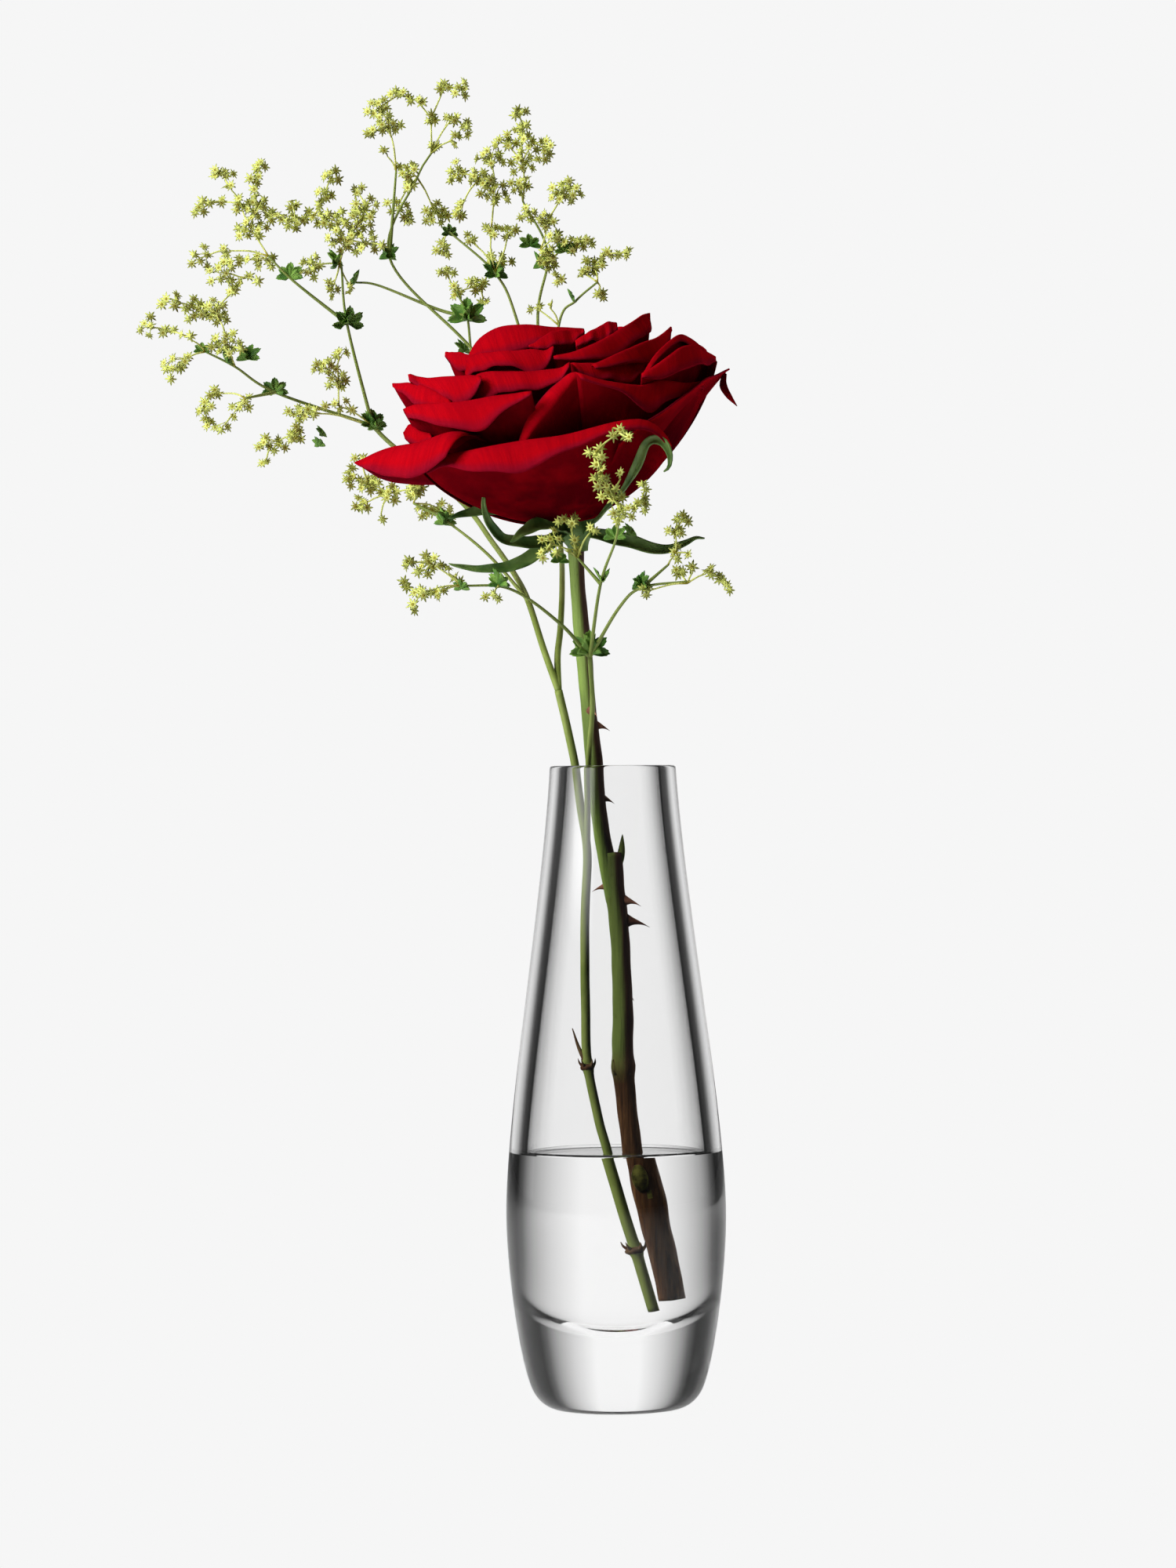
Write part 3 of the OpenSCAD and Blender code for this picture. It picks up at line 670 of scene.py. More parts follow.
# Each spray: where its twigs leave the branch, how far back it stands, and its clusters as
# (x, z, half width, half height, florets, twig root or the number of the cluster that it grows from).
A, B, C, D = "A", "B", "C", "D"
SPRAYS = {
    "spray_far_left": dict(roots={A: (-105, 52, 288), B: (-113, 48, 292)}, depth=47, clusters=[
        (-107, 294, 4, 3, 13, A), (-110, 303, 3, 3, 11, 0), (-116, 304, 3, 3, 9, 1),
        (-122, 306, 3, 2, 5, 2), (-105, 309, 1, 1, 3, 1), (-108, 314, 4, 3, 8, 4),
        (-101, 312, 3, 2, 3, 5), (-118, 296, 2, 1, 2, B), (-124, 298, 2, 1, 3, 7),
        (-129, 299, 2, 3, 5, 8), (-120, 289, 4, 2, 5, B), (-122, 286, 2, 3, 4, 10)]),
    "spray_upper_left": dict(roots={A: (-96, 63, 320), B: (-76, 66, 318)}, depth=66, clusters=[
        (-98, 319, 4, 2, 7, A), (-105, 319, 2, 1, 3, 0), (-108, 322, 2, 1, 2, A),
        (-115, 320, 3, 3, 6, 2), (-101, 328, 4, 3, 11, A), (-99, 334, 3, 3, 9, 4),
        (-104, 335, 2, 2, 5, 4), (-110, 336, 3, 1, 3, 6), (-115, 334, 2, 2, 4, 7),
        (-107, 340, 1, 1, 2, 6), (-109, 344, 3, 1, 6, 9), (-100, 341, 2, 2, 4, 5),
        (-98, 346, 2, 1, 4, 11), (-94, 331, 2, 2, 4, 5), (-74, 324, 5, 3, 12, B),
        (-70, 329, 4, 3, 11, 14), (-77, 330, 3, 3, 8, 14), (-67, 323, 3, 2, 6, 14),
        (-68, 334, 4, 2, 7, 15), (-71, 339, 2, 1, 3, 18), (-83, 332, 3, 3, 7, 16),
        (-89, 330, 3, 2, 8, 20), (-89, 335, 2, 1, 3, 21), (-80, 337, 2, 2, 5, 20),
        (-78, 343, 2, 2, 5, 23), (-84, 317, 3, 3, 8, B), (-78, 311, 2, 2, 4, B),
        (-73, 311, 1, 1, 2, B)]),
    "spray_low_left": dict(roots={A: (-67, 66, 272), B: (-102, 50, 279), C: (-55, 48, 249)},
                           depth=55, clusters=[
        (-76, 277, 4, 2, 5, A), (-76, 284, 3, 2, 6, 0), (-80, 288, 3, 2, 8, 1), (-76, 292, 2, 1, 3, 1),
        (-86, 275, 4, 2, 9, A), (-88, 269, 2, 2, 7, 4), (-95, 266, 4, 2, 8, 5), (-97, 261, 1, 1, 2, 6),
        (-102, 278, 2, 2, 4, B), (-106, 275, 1, 2, 2, B), (-111, 281, 2, 1, 3, B),
        (-114, 277, 2, 2, 4, 10), (-113, 273, 2, 1, 3, 11), (-109, 271, 2, 1, 3, 9),
        (-55, 253, 2, 2, 9, C), (-47, 247, 3, 2, 8, C), (-52, 247, 2, 2, 5, C), (-62, 252, 3, 2, 6, 14),
        (-68, 255, 3, 2, 10, 17), (-73, 257, 1, 3, 6, 18), (-70, 262, 2, 1, 3, 18),
        (-70, 249, 2, 2, 5, 17), (-65, 245, 1, 1, 1, 17), (-52, 256, 1, 1, 3, 14)]),
    "spray_top": dict(roots={A: (-50, 75, 350), B: (-60, 74, 345), C: (-54, 74, 343)}, depth=75, clusters=[
        (-62, 358, 3, 2, 8, B), (-65, 363, 3, 3, 9, 0), (-67, 356, 1, 1, 3, 0), (-59, 367, 3, 1, 5, 1),
        (-50, 360, 1, 2, 3, A), (-54, 365, 2, 1, 3, 4), (-46, 369, 2, 1, 4, 4), (-41, 368, 2, 2, 5, 6),
        (-44, 360, 2, 1, 4, A), (-40, 357, 1, 2, 4, 8), (-43, 354, 1, 2, 3, A), (-49, 352, 1, 1, 3, A),
        (-57, 345, 3, 2, 6, C), (-56, 341, 2, 1, 3, C), (-60, 335, 3, 2, 5, C), (-57, 332, 1, 2, 4, 14),
        (-49, 333, 3, 3, 11, C), (-63, 350, 1, 1, 1, B)]),
    "spray_top_right": dict(roots={A: (-24, 73, 336), B: (-32, 66, 315), C: (-45, 67, 327),
                                   D: (-43, 69, 309)},
                            depth=70, clusters=[
        (-24, 347, 4, 3, 9, A), (-29, 353, 3, 2, 6, 0), (-24, 356, 2, 2, 5, 0), (-25, 361, 2, 1, 4, 2),
        (-21, 352, 3, 2, 5, 0), (-17, 350, 1, 3, 6, 4), (-25, 340, 3, 2, 7, A), (-33, 328, 2, 2, 4, B),
        (-32, 338, 4, 3, 11, 7), (-33, 348, 4, 2, 9, 8), (-36, 342, 3, 2, 8, 8), (-43, 344, 2, 3, 7, 10),
        (-42, 333, 1, 3, 5, 10), (-39, 325, 1, 2, 3, B), (-28, 327, 2, 2, 5, B), (-31, 319, 4, 2, 8, B),
        (-37, 312, 2, 2, 6, D), (-47, 322, 2, 2, 5, C), (-46, 316, 2, 1, 4, D), (-43, 310, 1, 2, 4, D),
        (-35, 307, 1, 1, 2, 16)]),
    "spray_right": dict(roots={A: (-19, 72, 322), B: (-3, 64, 312), C: (-14, 66, 300)}, depth=67, clusters=[
        (-17, 330, 2, 2, 6, A), (-12, 338, 4, 3, 13, 0), (-22, 331, 3, 2, 6, 0), (-17, 319, 2, 3, 9, A),
        (-15, 325, 2, 1, 4, A), (-9, 323, 3, 2, 8, 4), (-5, 324, 1, 1, 3, 5), (-14, 313, 1, 2, 3, A),
        (-4, 317, 3, 2, 7, B), (0, 320, 3, 1, 4, 8), (5, 320, 2, 1, 3, 9), (-7, 315, 1, 1, 3, B),
        (-2, 309, 1, 1, 3, B), (-20, 305, 2, 1, 2, C), (-17, 306, 1, 1, 1, C)]),
    "spray_front": dict(roots={A: (2, -58, 241), B: (-9, -40, 230)}, depth=-59, clusters=[
        (3, 241, 3, 2, 7, A), (0, 246, 3, 2, 6, A), (-3, 251, 2, 3, 6, 1), (-4, 257, 2, 2, 4, 2),
        (3, 251, 1, 1, 1, 1), (2, 262, 2, 2, 3, 3), (5, 260, 1, 1, 1, 5), (8, 243, 2, 2, 5, A),
        (9, 248, 2, 1, 2, 7), (-11, 240, 3, 1, 5, B), (-16, 234, 3, 3, 6, B), (-18, 231, 2, 1, 2, 10),
        (-10, 233, 2, 2, 3, B), (-5, 238, 1, 1, 2, B)]),
    "spray_front_left": dict(roots={A: (-40, -38, 223), B: (-30, -37, 223)}, depth=-38, clusters=[
        (-48, 229, 3, 2, 6, A), (-54, 229, 1, 1, 3, 0), (-50, 226, 2, 1, 2, 0), (-44, 227, 1, 1, 1, A),
        (-51, 221, 2, 1, 4, A), (-55, 223, 1, 1, 2, 4), (-46, 221, 2, 1, 4, A), (-53, 217, 1, 1, 2, 4),
        (-41, 224, 1, 2, 2, A), (-32, 220, 2, 1, 3, B)]),
    "spray_front_right": dict(roots={A: (20, -42, 223), B: (15, -40, 228)}, depth=-41, clusters=[
        (17, 231, 1, 2, 3, B), (17, 237, 2, 1, 4, 0), (19, 240, 2, 1, 4, 1), (21, 231, 1, 1, 1, 0),
        (18, 226, 1, 1, 3, A), (22, 227, 1, 1, 1, A), (26, 226, 1, 1, 3, A), (29, 224, 1, 1, 3, 6),
        (31, 222, 1, 1, 2, 7), (9, 221, 1, 1, 3, A)]),
}
GOLDEN_TURN = 137.5  # degrees from one floret of a cluster to the next, which spreads them evenly
FRONT_FACING = 0.72  # share of the florets that look forward
TWIG_RADII, STALK_RADII = (0.3, 0.2), (0.15, 0.13)
FLORET_RADIUS, FLORET_VARIES = 1.7, 0.5


def spray_depth(base, root, seed):
    """Where a cluster stands: near its spray's depth, or near its root where that lies far from it."""
    return (base if abs(root[1] - base) < 14 else root[1]) + 5 * rnd(seed) - 2.5


def build_spray(name, roots, depth, clusters, first, stars):
    """A thin twig to each cluster, and a floret on a fine stalk at each of its evenly spread places."""
    parts, centres = [], []
    for i, (x, z, wide, high, count, source) in enumerate(clusters):
        seed = first + 31 * i
        root = np.asarray(centres[source] if isinstance(source, int) else roots[source], float)
        centre = np.array([x, spray_depth(depth, root, seed), z], float)
        centres.append(centre)
        hub = centre + (root - centre) * min(0.35, 1.2 / np.linalg.norm(root - centre))
        bend = (root + hub) / 2 + 0.09 * np.linalg.norm(hub - root) * heading(360 * rnd(seed + 1), 0.7)
        twig = smooth([root, bend, hub], 18)
        parts.append(tube(twig, np.linspace(*TWIG_RADII, 18), 7))
        for k in range(count):
            m = seed + 7 * k + 3
            turn = math.radians(GOLDEN_TURN * k + 360 * rnd(seed + 2))
            out = math.sqrt((k + 0.5) / count) * 1.15
            spread = np.array([wide * math.cos(turn), 5.0 * (rnd(m) - 0.5), high * math.sin(turn)]) * out
            forward = -0.9 if rnd(m + 1) < FRONT_FACING else 0.8
            face = unit(0.35 * spread / max(wide, high) + heading(360 * rnd(m + 2), rnd(m + 3) - 0.4) * 0.55
                        + np.array([0, forward, 0.15]))
            tip = centre + spread
            stalk = [twig[-1 - 2 * (k % 3)], (hub + tip) / 2 + [0, 0, 0.5], tip - 0.7 * face]
            parts.append(tube(smooth(stalk, 5), np.linspace(*STALK_RADII, 5), 5))
            parts.append(floret(tip, face, FLORET_RADIUS + FLORET_VARIES * rnd(m + 4), 6 * rnd(m + 5)))
    return piece(name, parts, "sprig", [name], [stars])


# ---------------------------------------------------------------- the bloom

BLOOM_LEAN = math.radians(10)  # the bloom tips to its left


def in_bloom(points):
    """From the bloom's own upright frame at the hip to the frame of the whole object."""
    p = np.asarray(points, float)
    c, s = math.cos(BLOOM_LEAN), math.sin(BLOOM_LEAN)
    x, z = p[..., 0] * c - p[..., 2] * s, p[..., 0] * s + p[..., 2] * c
    return np.stack([x + HIP[0], p[..., 1] + HIP[1], z + HIP[2]], -1)


WALL_ROWS, FLAP_ROWS = 26, 16
FOOT_SPREAD = 0.55  # the share of its spread round the axis that a petal keeps at its foot
CREST_AT = 0.62  # the crest's place on the petal's own scale, from 0 at its foot to 1 at its edge


def loft_petal(crest, edge, foot, seed, wave=0.35, thick=0.5, belly=0.5, arrive=(0.12, 0.38)):
    """A petal between three lines: its foot on the hip, its crest, and the edge of the flap beyond.

    foot is how far from the axis and how high the petal starts, and seed is its number. The wall rises
    in a bowl, turns smoothly over the crest and ends as the flap. belly is how far out the bowl swells,
    and arrive how level and how steep the wall reaches the crest."""
    cols = len(crest)
    turn = np.unwrap(np.arctan2(crest[:, 1], crest[:, 0]))
    middle = (turn[0] + turn[-1]) / 2
    foot_turn = middle + (turn - middle) * FOOT_SPREAD
    grid = np.zeros((WALL_ROWS + FLAP_ROWS, cols, 3))
    up = np.array([0, 0, 1.0])
    for j in range(cols):
        c, e = crest[j], edge[j]
        b = np.array([foot[0] * math.cos(foot_turn[j]), foot[0] * math.sin(foot_turn[j]), foot[1]])
        flat = (c - b) * [1, 1, 0]
        rise = c[2] - b[2]
        one, two = b + flat * belly + up * rise * 0.1, c - flat * arrive[0] - up * rise * arrive[1]
        grid[0, j] = b
        grid[1:WALL_ROWS, j] = cubic(b, one, two, c, WALL_ROWS - 1)
        width = np.linalg.norm(e - c)
        over = c + unit(c - two) * min(0.4 * width, 2.4)
        down = e + (c - e) * 0.4 + up * 0.22 * width
        grid[WALL_ROWS:, j] = cubic(c, over, down, e, FLAP_ROWS)
    v = np.concatenate([np.linspace(0, CREST_AT, WALL_ROWS), np.linspace(CREST_AT, 1, FLAP_ROWS + 1)[1:]])
    u = np.linspace(-1, 1, cols)
    across, along = np.meshgrid(u, v)
    ripple = wave * along ** 4 * (np.sin(7 * across + 1.7 * seed) + 0.6 * np.sin(15 * across + seed))
    grid[..., 2] += ripple
    grid[..., 0] += 0.4 * ripple * np.cos(turn)
    grid[..., 1] += 0.4 * ripple * np.sin(turn)
    p = shell(in_bloom(grid), thick, across, along)
    p["marks"]["petal"] = float(seed)
    return p


def drawn_petal(foot, seed, radius, flare, crest, edge, behind=0, **more):
    """A petal on the side that faces front, from (x, z) points of its crest and its edge.

    Both lie on rounds of the given radius about the bloom's axis. behind is how many of the last points
    before the tip are repeated on the far side, for a petal whose tip lies at the left or right."""
    lines = []
    for points, r in ((crest, radius), (edge, radius + flare)):
        front = np.array([[x, -math.sqrt(max(r * r - x * x, 1.0)), z] for x, z in points])
        line = smooth(front, 33)
        if behind:
            back = front[-1 - behind:] * [1, -1, 1] + [0, 0, 0.5]
            back[-1] = front[-1]
            line = np.vstack([line, smooth(back[::-1], 17)[1:]])
        lines.append(line)
    return loft_petal(*lines, foot, seed, **more)


def round_petal(foot, seed, turn, spread, radius, high, flare, drop, tip=3.0, belly=0.5):
    """A petal whose crest runs level round the axis, with its flap longest and pointed in the middle."""
    u = np.linspace(-1, 1, 41)
    a = np.radians(turn + spread * u)
    soft = 1 - np.abs(u)
    r = radius * (1 - 0.05 * u ** 2)
    crest = np.stack([r * np.cos(a), r * np.sin(a), high - 2.5 * u ** 2 + 0.6 * np.sin(5 * u + seed)], 1)
    reach = r + flare * (1 - u ** 4) + tip * soft ** 3
    edge = np.stack([reach * np.cos(a), reach * np.sin(a), crest[:, 2] - drop * (1 - u ** 4)], 1)
    return loft_petal(crest, edge, foot, seed, belly=belly)


# FRONT_ rows are drawn petals. BACK_ rows are round ones: number, turn, spread, radius, height, flare and
# drop, then the length of the point and the belly where they aren't the usual ones.
FRONT_GUARDS = [
    dict(radius=46, flare=6, behind=3, seed=1, arrive=(0.5, 0.0), belly=0.4,
         crest=[(-24.5, 27.5), (-28, 29), (-37, 28.5), (-45, 29.5), (-55.5, 28)],
         edge=[(-30.5, 22.5), (-36, 19.5), (-42, 20), (-50, 23), (-55, 27.5)]),
    dict(radius=45, flare=5, seed=2,
         crest=[(28.5, 14), (27, 18), (23.5, 21.5), (18.5, 22.5), (9.5, 22), (0, 21.5), (-10.5, 22.5),
                (-21.5, 22.5), (-31, 22.5), (-37, 21)],
         edge=[(28, 13.5), (26.5, 17), (22.5, 20.5), (18, 21), (12, 20), (6, 18.5), (0, 17.5), (-4, 16.5),
               (-12, 15), (-18, 16), (-25, 17.5), (-31, 20), (-36.5, 20)]),
    dict(radius=45, flare=1, behind=2, seed=3, arrive=(0.3, 0.3), belly=0.35,
         crest=[(15, 17), (22.5, 21.5), (30.5, 24.5), (38.5, 29.5), (43, 32), (48, 34)],
         edge=[(15, 17.5), (22.5, 22), (30.5, 25), (38.5, 30), (43, 32.5), (49, 34)])]
BACK_GUARDS = [(4, 32, 30, 38, 31, 4, 2, 1, 0.3), (5, 82, 40, 42, 28, 5, 5), (6, 132, 34, 43, 28, 5, 4)]
FRONT_MIDDLE = [
    dict(radius=42, flare=2.5, behind=1, seed=11,
         crest=[(7.5, 37.8), (15, 34.2), (23.5, 31.5), (29, 32.3), (36, 30.5), (41, 30)],
         edge=[(8.5, 36.3), (13, 34), (18, 31), (22.5, 26.5), (25.5, 24.8), (30, 27.2), (36, 28.6),
               (40.8, 29.3)]),
    dict(radius=40.5, flare=-2.5, seed=18, wave=0.1,
         crest=[(-9.5, 22), (-5, 26.5), (0, 30.5), (4.5, 34.5), (8, 36.8), (14, 33), (20, 29)],
         edge=[(-11, 23), (-8, 28), (-3.5, 32.8), (2, 36.8), (7.8, 38.4), (15, 32.5), (20, 28.5)]),
    dict(radius=41, flare=3, behind=2, seed=12,
         crest=[(-5, 35), (-15, 35.5), (-26.5, 36.5), (-35, 38), (-39.5, 38)],
         edge=[(-5, 34.5), (-13, 31.5), (-19, 28.5), (-24, 29), (-29.5, 31), (-34.5, 33.5), (-39, 36.5)]),
    dict(radius=39, flare=2, behind=2, seed=13,
         crest=[(-33.5, 30), (-36.5, 32), (-38.5, 34.5), (-41, 33.5)],
         edge=[(-33.5, 29), (-37, 28.5), (-39.5, 29.5), (-41, 32)]),
    dict(radius=41, flare=1, behind=3, seed=14,
         crest=[(24.5, 34.5), (29, 39.5), (33, 42.5), (37, 44.5), (40, 43.5), (43, 41), (46, 37)],
         edge=[(25, 34), (29, 38), (33, 41), (37, 42.5), (40, 41.5), (43, 39.5), (46, 36.5)]),
    dict(radius=43, flare=3, behind=1, seed=10,
         crest=[(24.5, 34.5), (28, 36), (33, 38.5), (37, 40.5), (40.5, 40.5), (43, 39), (45.5, 37)],
         edge=[(24.5, 34), (29, 33.5), (34.5, 34), (39.5, 35.5), (42.5, 36), (45.5, 36.5)])]
BACK_MIDDLE = [(19, 212, 50, 34, 22, 2, 1, 0), (20, 186, 34, 35, 32.5, 2, 2, 1), (15, 48, 36, 37, 41, 4, 3),
               (16, 98, 38, 37, 39, 5, 4), (17, 142, 32, 37, 39, 5, 3)]
FRONT_UPPER = [
    dict(radius=38, flare=3, behind=2, seed=21,
         crest=[(-26.5, 37.5), (-31.5, 42), (-37, 45.5), (-41.5, 47)],
         edge=[(-26.5, 35.5), (-31.5, 37), (-36, 38.5), (-38.5, 42.5), (-41.5, 46)]),
    dict(radius=36, flare=3, behind=1, seed=22,
         crest=[(-17.5, 42), (-22, 43), (-27, 44), (-32, 45), (-36.5, 47)],
         edge=[(-17.5, 41.5), (-20, 38), (-24.5, 35.5), (-27, 38.5), (-31, 41), (-36.5, 45.5)]),
    dict(radius=33, flare=4, seed=23,
         crest=[(6.5, 41), (3, 40), (-7, 41), (-17.5, 43), (-21, 40.5), (-24.5, 37.5)],
         edge=[(6, 40), (2.5, 37), (-4.5, 36.5), (-8.5, 36.5), (-14.5, 37), (-20, 36.5), (-24.5, 36.5)]),
    dict(radius=31, flare=4, seed=24,
         crest=[(6.5, 41), (13, 40), (19.5, 39.5), (27.5, 38.5)],
         edge=[(8.5, 38.5), (12.5, 36.5), (19.5, 34.5), (23, 35), (27, 37.5)]),
    dict(radius=33, flare=2, behind=2, seed=25,
         crest=[(12, 40), (20, 42), (27.5, 44), (32, 46), (35.5, 48.5)],
         edge=[(13, 39.5), (23.5, 39), (28.5, 39), (33.5, 43.5), (35.5, 47.5)])]
BACK_UPPER = [(26, 58, 40, 31, 46, 4, 3), (27, 118, 40, 31, 46, 4, 3)]
FRONT_INNER = [
    dict(radius=27, flare=3, behind=2, seed=31,
         crest=[(2.5, 44), (9, 44.5), (17.5, 47), (25, 50.5), (30.5, 53.5)],
         edge=[(2.5, 43.5), (8, 42.5), (13.5, 42), (19.5, 42.5), (25.5, 45.5), (30, 48.5), (30.5, 52.5)]),
    dict(radius=24, flare=3, seed=32,
         crest=[(9, 47.5), (11.5, 48.5), (15.5, 50), (18.5, 51), (21, 50.5)],
         edge=[(9, 46.5), (12, 47), (16.5, 47), (19, 48), (21, 49.5)]),
    dict(radius=25, flare=1.5, behind=2, seed=33,
         crest=[(-15, 48), (-20, 49.5), (-22.5, 51), (-25.5, 52)],
         edge=[(-15, 44), (-19.5, 45), (-23.5, 47), (-26, 51)]),
    dict(radius=25.5, flare=2.5, seed=34,
         crest=[(3, 47), (0.5, 46), (-3.5, 47), (-12.5, 48), (-19.5, 48.5), (-21.5, 44.5)],
         edge=[(3, 46.5), (1.5, 43.5), (-2, 41), (-7, 43), (-12.5, 45), (-17.5, 45), (-21.5, 43.5)])]
BACK_INNER = [(35, 40, 44, 24, 51, 3, 2), (36, 92, 42, 22, 51, 3, 2), (37, 142, 42, 22, 51, 3, 2)]
FRONT_HEART = [
    dict(radius=20.2, flare=2.5, seed=41,
         crest=[(-19.5, 49.5), (-17.5, 52), (-14.5, 54), (-11, 55), (-5.5, 54.5), (1.5, 53), (8, 51.5),
                (12, 50.5)],
         edge=[(-20, 49), (-15.5, 48.5), (-10, 48), (-6, 48), (-2.5, 48.5), (1.5, 49.5), (6, 50),
               (11.5, 50)]),
    dict(radius=22.5, flare=1.5, seed=42,
         crest=[(-3.5, 48.5), (1.5, 50.5), (5.5, 51), (12, 50.5)],
         edge=[(-3.5, 48), (1, 47.5), (5, 47.5), (9, 48), (12, 50)])]
BACK_HEART = [(43, 60, 75, 16, 51.5, 2, 1.5, 1), (44, 150, 80, 13, 52, 1.5, 1, 1),
              (45, -40, 85, 10.5, 51.5, 1.2, 0.8, 0.5), (46, 90, 95, 7.5, 51.5, 0.8, 0.3, 0.5),
              (47, 230, 110, 4.8, 51, 0.5, 0, 0.3)]


DRY_TIP = [[47.6, -2, 33.4], [46.6, -3, 30.5], [47.4, -4, 27.5], [49.2, -5, 24]]  # in the bloom's frame
DRY_TIP_RADII = [0.6, 1.1, 0.8, 0.1]


def build_bloom(paint):
    """The bloom's five rings of petals, outermost first, and the dried tip that hangs at its right."""
    rings = (("rose_outer_petals", FRONT_GUARDS, BACK_GUARDS, (3.6, 1.0)),
             ("rose_middle_petals", FRONT_MIDDLE, BACK_MIDDLE, (3.6, 3.0)),
             ("rose_upper_petals", FRONT_UPPER, BACK_UPPER, (3.6, 6.0)),
             ("rose_inner_petals", FRONT_INNER, BACK_INNER, (3.4, 9.0)),
             ("rose_heart", FRONT_HEART, BACK_HEART, (2.5, 11.0)))
    radii = np.interp(np.linspace(0, 3, 14), range(4), DRY_TIP_RADII)
    for name, front, back, foot in rings:
        parts = [drawn_petal(foot, **row) for row in front] + [round_petal(foot, *row) for row in back]
        if name == "rose_outer_petals":
            parts.append(tube(smooth(in_bloom(DRY_TIP), 14), radii, 10))
        piece(name, parts, "rose", [name], [paint])


# Each sepal: its route from the hip and its widest half width. The last, which hooks over the petals,
# also has its own share of that width at the foot and its own place where it is widest.
SEPALS = [([[-13, -3, 238], [-19, -12, 235], [-28, -20, 235.5], [-32, -23, 239], [-34, -24, 244],
            [-34, -24, 248.5]], 2.3),
          ([[-13, -1, 240], [-22, -6, 243], [-30, -9, 244.5], [-38, -11, 243.5], [-44, -13, 242]], 3.0),
          ([[-13, -1, 237], [-19, -3, 233.6], [-25, -5, 229.8], [-32, -6, 228.4], [-39, -6, 228.8],
            [-44, -7, 230]], 2.0),
          ([[-12, -4, 239], [-18, -14, 240], [-23, -20, 238], [-27, -24, 235]], 3.0),
          ([[-7, 0, 238.5], [0, -2, 236.8], [7, -3, 235], [12, -3, 233.4], [16, -3, 233.6], [20, -2, 235],
            [23, -2, 236.7], [25.5, -2, 236.5]], 2.2),
          ([[-7, -4, 238.5], [-2, -18, 243], [5.5, -30, 251.5], [10, -39, 260], [13.5, -41.5, 260.5],
            [15.5, -42, 257.5], [15.5, -42, 254], [14, -42, 252.5]], 3.2, 0.25, 0.75)]


def sepal(path, seed, broad, at_foot=0.6, widest=0.35):
    """A long green sepal, pointed and channelled along its middle."""
    line = smooth(path, 48)
    way = np.gradient(line, axis=0)
    way /= np.linalg.norm(way, axis=1)[:, None]
    s = np.linspace(0, 1, 48)
    swell = at_foot + (1 - at_foot) * ease(widest - 0.35, widest, s)
    width = broad * swell * (1 - s ** 1.9) ** 0.85 + 0.12
    grid = np.zeros((48, 13, 3))
    for k in range(48):
        flat = unit(np.cross(way[k], [0.25 * math.sin(seed), -0.85, 0.45]))
        up = np.cross(flat, way[k])
        for j, u in enumerate(np.linspace(-1, 1, 13)):
            frill = 0.18 * math.sin(9 * s[k] * 3.1 + seed) * abs(u)
            grid[k, j] = line[k] + flat * u * width[k] + up * (width[k] * 0.45 * u * u + frill)
    across, along = np.meshgrid(np.linspace(-1, 1, 13), s)
    return shell(grid, 0.5, across, along)


def build_sepals(paint):
    parts = [sepal(path, i, *form) for i, (path, *form) in enumerate(SEPALS)]
    return piece("rose_sepals", parts, "rose", ["rose_sepals"], [paint])


# ---------------------------------------------------------------- studio

CAMERA_AWAY, CAMERA_X, CAMERA_Z = 1.6, -0.00675, 0.170  # metres
CAMERA_ROLL = math.radians(0.45)
PALE = grey(0.922)  # the photo's background
CAMERA_TO_SCREEN = 3.24  # from the camera forward to the middle of the screen's bend
SCREEN = 12.0  # the screen's radius and half its height
SCREEN_STEPS = 96
# The screen's brightness at places on its half circle, from its left end to its right.
SCREEN_LEVELS = ((0.0, 0.5), (0.08, 0.1), (0.16, 0.01), (0.25, 0.01), (0.285, 0.1), (0.325, 0.35),
                 (0.385, 0.69), (0.445, 0.96), (0.555, 0.96), (0.61, 0.69), (0.67, 0.35), (0.71, 0.1),
                 (0.745, 0.01), (0.86, 0.01), (0.93, 0.1), (1.0, 0.3))
FLOOR_HALF, FLOOR_TOP = 3.0, -0.0003
CARD_AWAY, CARD_LOW, CARD_HIGH = 0.3, 0.18, 0.3  # metres from the vase's axis and above the table
CARD_LEFT, CARD_RIGHT = math.radians(30), math.radians(80)  # its ends, round from the front to the left
CARD_STEPS = 24


def build_camera():
    """The photo's view: level, from the front, with the photo's slight lean."""
    data = bpy.data.cameras.new("camera")
    data.lens, data.sensor_width = 135, 36
    cam = bpy.data.objects.new("camera", data)
    cam.location = (CAMERA_X, -CAMERA_AWAY, CAMERA_Z)
    cam.rotation_euler = (math.pi / 2, CAMERA_ROLL, 0)
    bpy.context.scene.collection.objects.link(cam)
    bpy.context.scene.camera = cam
    return cam


class Glow(Nodes):
    """A material that shines."""

    def __init__(self, name, colour=(1, 1, 1)):
        self.mat = bpy.data.materials.new(name)
        self.mat.use_nodes = True
        super().__init__(self.mat.node_tree)
        self.nt.nodes.clear()
        self.out = self.node("ShaderNodeOutputMaterial")
        self.lit = self.node("ShaderNodeEmission", {0: colour, 1: 1.0})
        self.feed(self.out.inputs[0], self.lit.outputs[0])


def sheet(name, verts, faces, mat, unseen_by):
    """A sheet of the studio that the named kinds of ray pass by."""
    mesh = bpy.data.meshes.new(name)
    mesh.from_pydata(verts, [], faces)
    mesh.materials.append(mat)
    o = bpy.data.objects.new(name, mesh)
    bpy.context.scene.collection.objects.link(o)
    for rays in unseen_by:
        setattr(o, "visible_" + rays, False)
    return o


def in_a_row(n):
    """n faces between n + 1 pairs of points, each pair the two ends of one edge."""
    return [(2 * k, 2 * k + 2, 2 * k + 3, 2 * k + 1) for k in range(n)]


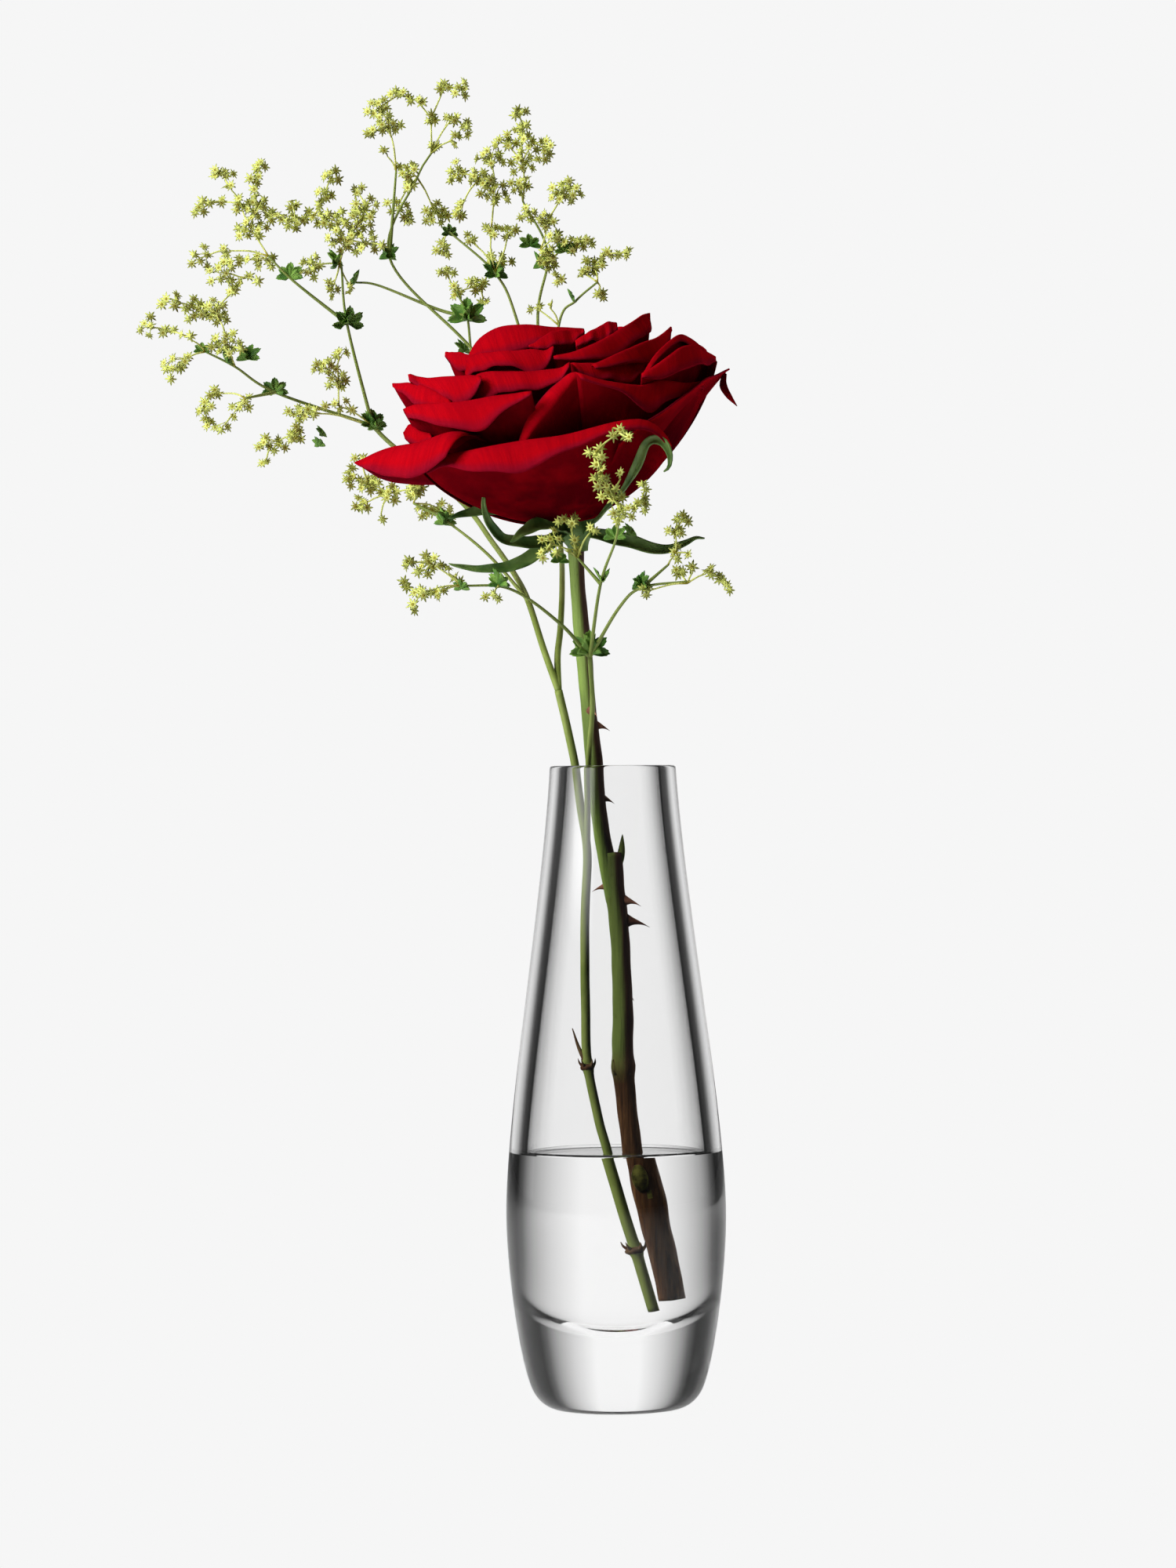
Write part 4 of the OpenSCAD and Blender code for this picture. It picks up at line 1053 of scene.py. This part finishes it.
def build_screen(cam):
    """A tall curved screen behind the vase, bright in the middle and dark to both sides.

    Only rays bent or mirrored by the object see it. It hangs from the camera, so that it stays behind
    the object from every side, and it is large, so that the camera may also stand further off."""
    g = Glow("screen")
    x, _, z = g.place_xyz()
    across = g.share(g.math("ARCTAN2", x, g.math("MULTIPLY", z, -1.0)), -math.pi / 2, math.pi / 2)
    levels = g.ramp(across, *((at, grey(level)) for at, level in SCREEN_LEVELS), between="LINEAR")
    g.feed(g.lit.inputs[0], levels)
    turns = [math.pi * (k / SCREEN_STEPS - 0.5) for k in range(SCREEN_STEPS + 1)]
    verts = [(SCREEN * math.sin(a), y, -SCREEN * math.cos(a)) for a in turns for y in (-SCREEN, SCREEN)]
    o = sheet("screen", verts, in_a_row(SCREEN_STEPS), g.mat, ("camera", "diffuse", "shadow"))
    o.parent = cam
    o.location = (0, 0, -CAMERA_TO_SCREEN)


def build_floor():
    """A plain pale floor as bright as the air behind the vase, so that no line shows where it ends."""
    g = Glow("floor", PALE)
    plain = g.node("ShaderNodeBsdfDiffuse", {0: grey(0.8)}).outputs[0]
    g.feed(g.out.inputs[0], g.either(g.rays("Camera"), plain, g.lit.outputs[0]))
    verts = [(x, y, FLOOR_TOP) for x in (-FLOOR_HALF, FLOOR_HALF) for y in (-FLOOR_HALF, FLOOR_HALF)]
    o = sheet("floor", verts, [(0, 2, 3, 1)], g.mat, ("transmission",))


def build_card():
    """A soft card at the front left that only shows as the pale upright gleam on the glass's upper part."""
    g = Glow("strip")
    x, _, z = g.place_xyz()
    aside = g.share(x, -CARD_AWAY * math.sin(CARD_LEFT), -CARD_AWAY * math.sin(CARD_RIGHT))
    soft = g.ramp(aside, (0.0, grey(0)), (0.25, grey(1)), (0.85, grey(1)), (1.0, grey(0)), between="LINEAR")
    g.feed(g.lit.inputs[0], soft)
    g.feed(g.lit.inputs[1], g.share(z, CARD_LOW, CARD_LOW + 0.03, 5.0, interpolation_type="SMOOTHSTEP"))
    turns = np.linspace(CARD_LEFT, CARD_RIGHT, CARD_STEPS + 1)
    ends = [(-CARD_AWAY * math.sin(a), -CARD_AWAY * math.cos(a)) for a in turns]
    verts = [(*end, height) for end in ends for height in (CARD_LOW, CARD_HIGH)]
    o = sheet("strip", verts, in_a_row(CARD_STEPS), g.mat, ("camera", "diffuse", "shadow", "transmission"))


def build_world():
    """Air that is pale to the camera and nearly dark to every other ray."""
    world = bpy.data.worlds.new("world")
    world.use_nodes = True
    g = Nodes(world.node_tree)
    g.nt.nodes.clear()
    seen, rest = (g.node("ShaderNodeBackground", {0: c}).outputs[0] for c in (PALE, grey(0.05)))
    g.node("ShaderNodeOutputWorld", {0: g.either(g.rays("Camera"), rest, seen)})
    bpy.context.scene.world = world


def lamp(name, place, at, size, power, unseen_by):
    """A square lamp at a place, turned to face a point, that the named kinds of ray pass by."""
    data = bpy.data.lights.new(name, "AREA")
    data.shape, data.size, data.size_y = "RECTANGLE", size, size
    data.energy, data.color = power, (1, 1, 1)
    o = bpy.data.objects.new(name, data)
    o.location = place
    o.rotation_euler = (Vector(at) - Vector(place)).to_track_quat("-Z", "Y").to_euler()
    bpy.context.scene.collection.objects.link(o)
    for rays in unseen_by:
        setattr(o, "visible_" + rays, False)


def build_studio():
    """The camera, what the glass mirrors and bends, the lamps, and how light is followed."""
    build_screen(build_camera())
    build_floor()
    build_world()
    lamp("key", (-1.0, -0.42, 0.85), (0, 0, 0.2), 0.8, 20, ("transmission", "glossy"))
    lamp("top", (-0.3, 0.15, 1.3), (0, 0, 0.25), 0.5, 2, ("transmission",))
    lamp("fill", (0.85, 0.75, 0.5), (0, 0, 0.2), 0.6, 5, ("transmission", "glossy"))
    build_card()
    sc = bpy.context.scene
    sc.view_settings.view_transform = "Standard"
    sc.cycles.max_bounces = 32
    sc.cycles.transmission_bounces = 28
    sc.cycles.transparent_max_bounces = 32
    sc.cycles.diffuse_bounces = 2
    sc.cycles.caustics_reflective = sc.cycles.caustics_refractive = False
    sc.cycles.sample_clamp_indirect = 6
    sc.cycles.use_denoising = True


# ---------------------------------------------------------------- everything together

glass, wet = glass_paint("clear_glass", 1.5), glass_paint("clear_glass_wet", 1.125)
water, water_side = glass_paint("water", 1.333), clear_paint("water_side")
petals = petal_paint()
# The second colour of each stem paint is a red-brown darkened as painted shade for the side away from the
# key lamp.
cane_paint = stem_paint("rose_wood", (0.24, 0.33, 0.07), (0.09, 0.035, 0.02), 0.092)
stem_green = stem_paint("rose_green", (0.27, 0.4, 0.08), (0.08, 0.035, 0.02), 0.02)
sprig_green = leaf_paint("sprig_green", (0.2, 0.27, 0.05), (0.32, 0.4, 0.1), 0.5, 60.0)
sepal_green = leaf_paint("sepal_green", (0.04, 0.11, 0.018), (0.19, 0.31, 0.08), 0.45, 120.0)
leaf_green = leaf_paint("leaf_green", (0.06, 0.18, 0.025), (0.2, 0.36, 0.06), 0.55)
thorn_paint = leaf_paint("thorn", (0.2, 0.07, 0.04), (0.42, 0.19, 0.12), 0.4)
bract_brown = leaf_paint("bract_brown", (0.09, 0.035, 0.015), (0.26, 0.17, 0.08), 0.7)
florets = floret_paint()
scar_green = leaf_paint("scar_green", (0.07, 0.06, 0.012), (0.27, 0.27, 0.05), 0.6, 500.0)

build_vase(glass, wet)
build_water(water, water_side)
build_cane(cane_paint, scar_green)
build_stem(stem_green)
build_side_shoot(sprig_green)
build_thorns(thorn_paint)
build_sprig(sprig_green)
build_bracts(bract_brown)
build_leaves(leaf_green)
for order, (spray_name, spray) in enumerate(SPRAYS.items()):
    build_spray(spray_name, **spray, first=1000 * order, stars=florets)
build_bloom(petals)
build_sepals(sepal_green)
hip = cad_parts["rose_hip"]
hip.data.materials.clear()
hip.data.materials.append(sepal_green)

build_studio()
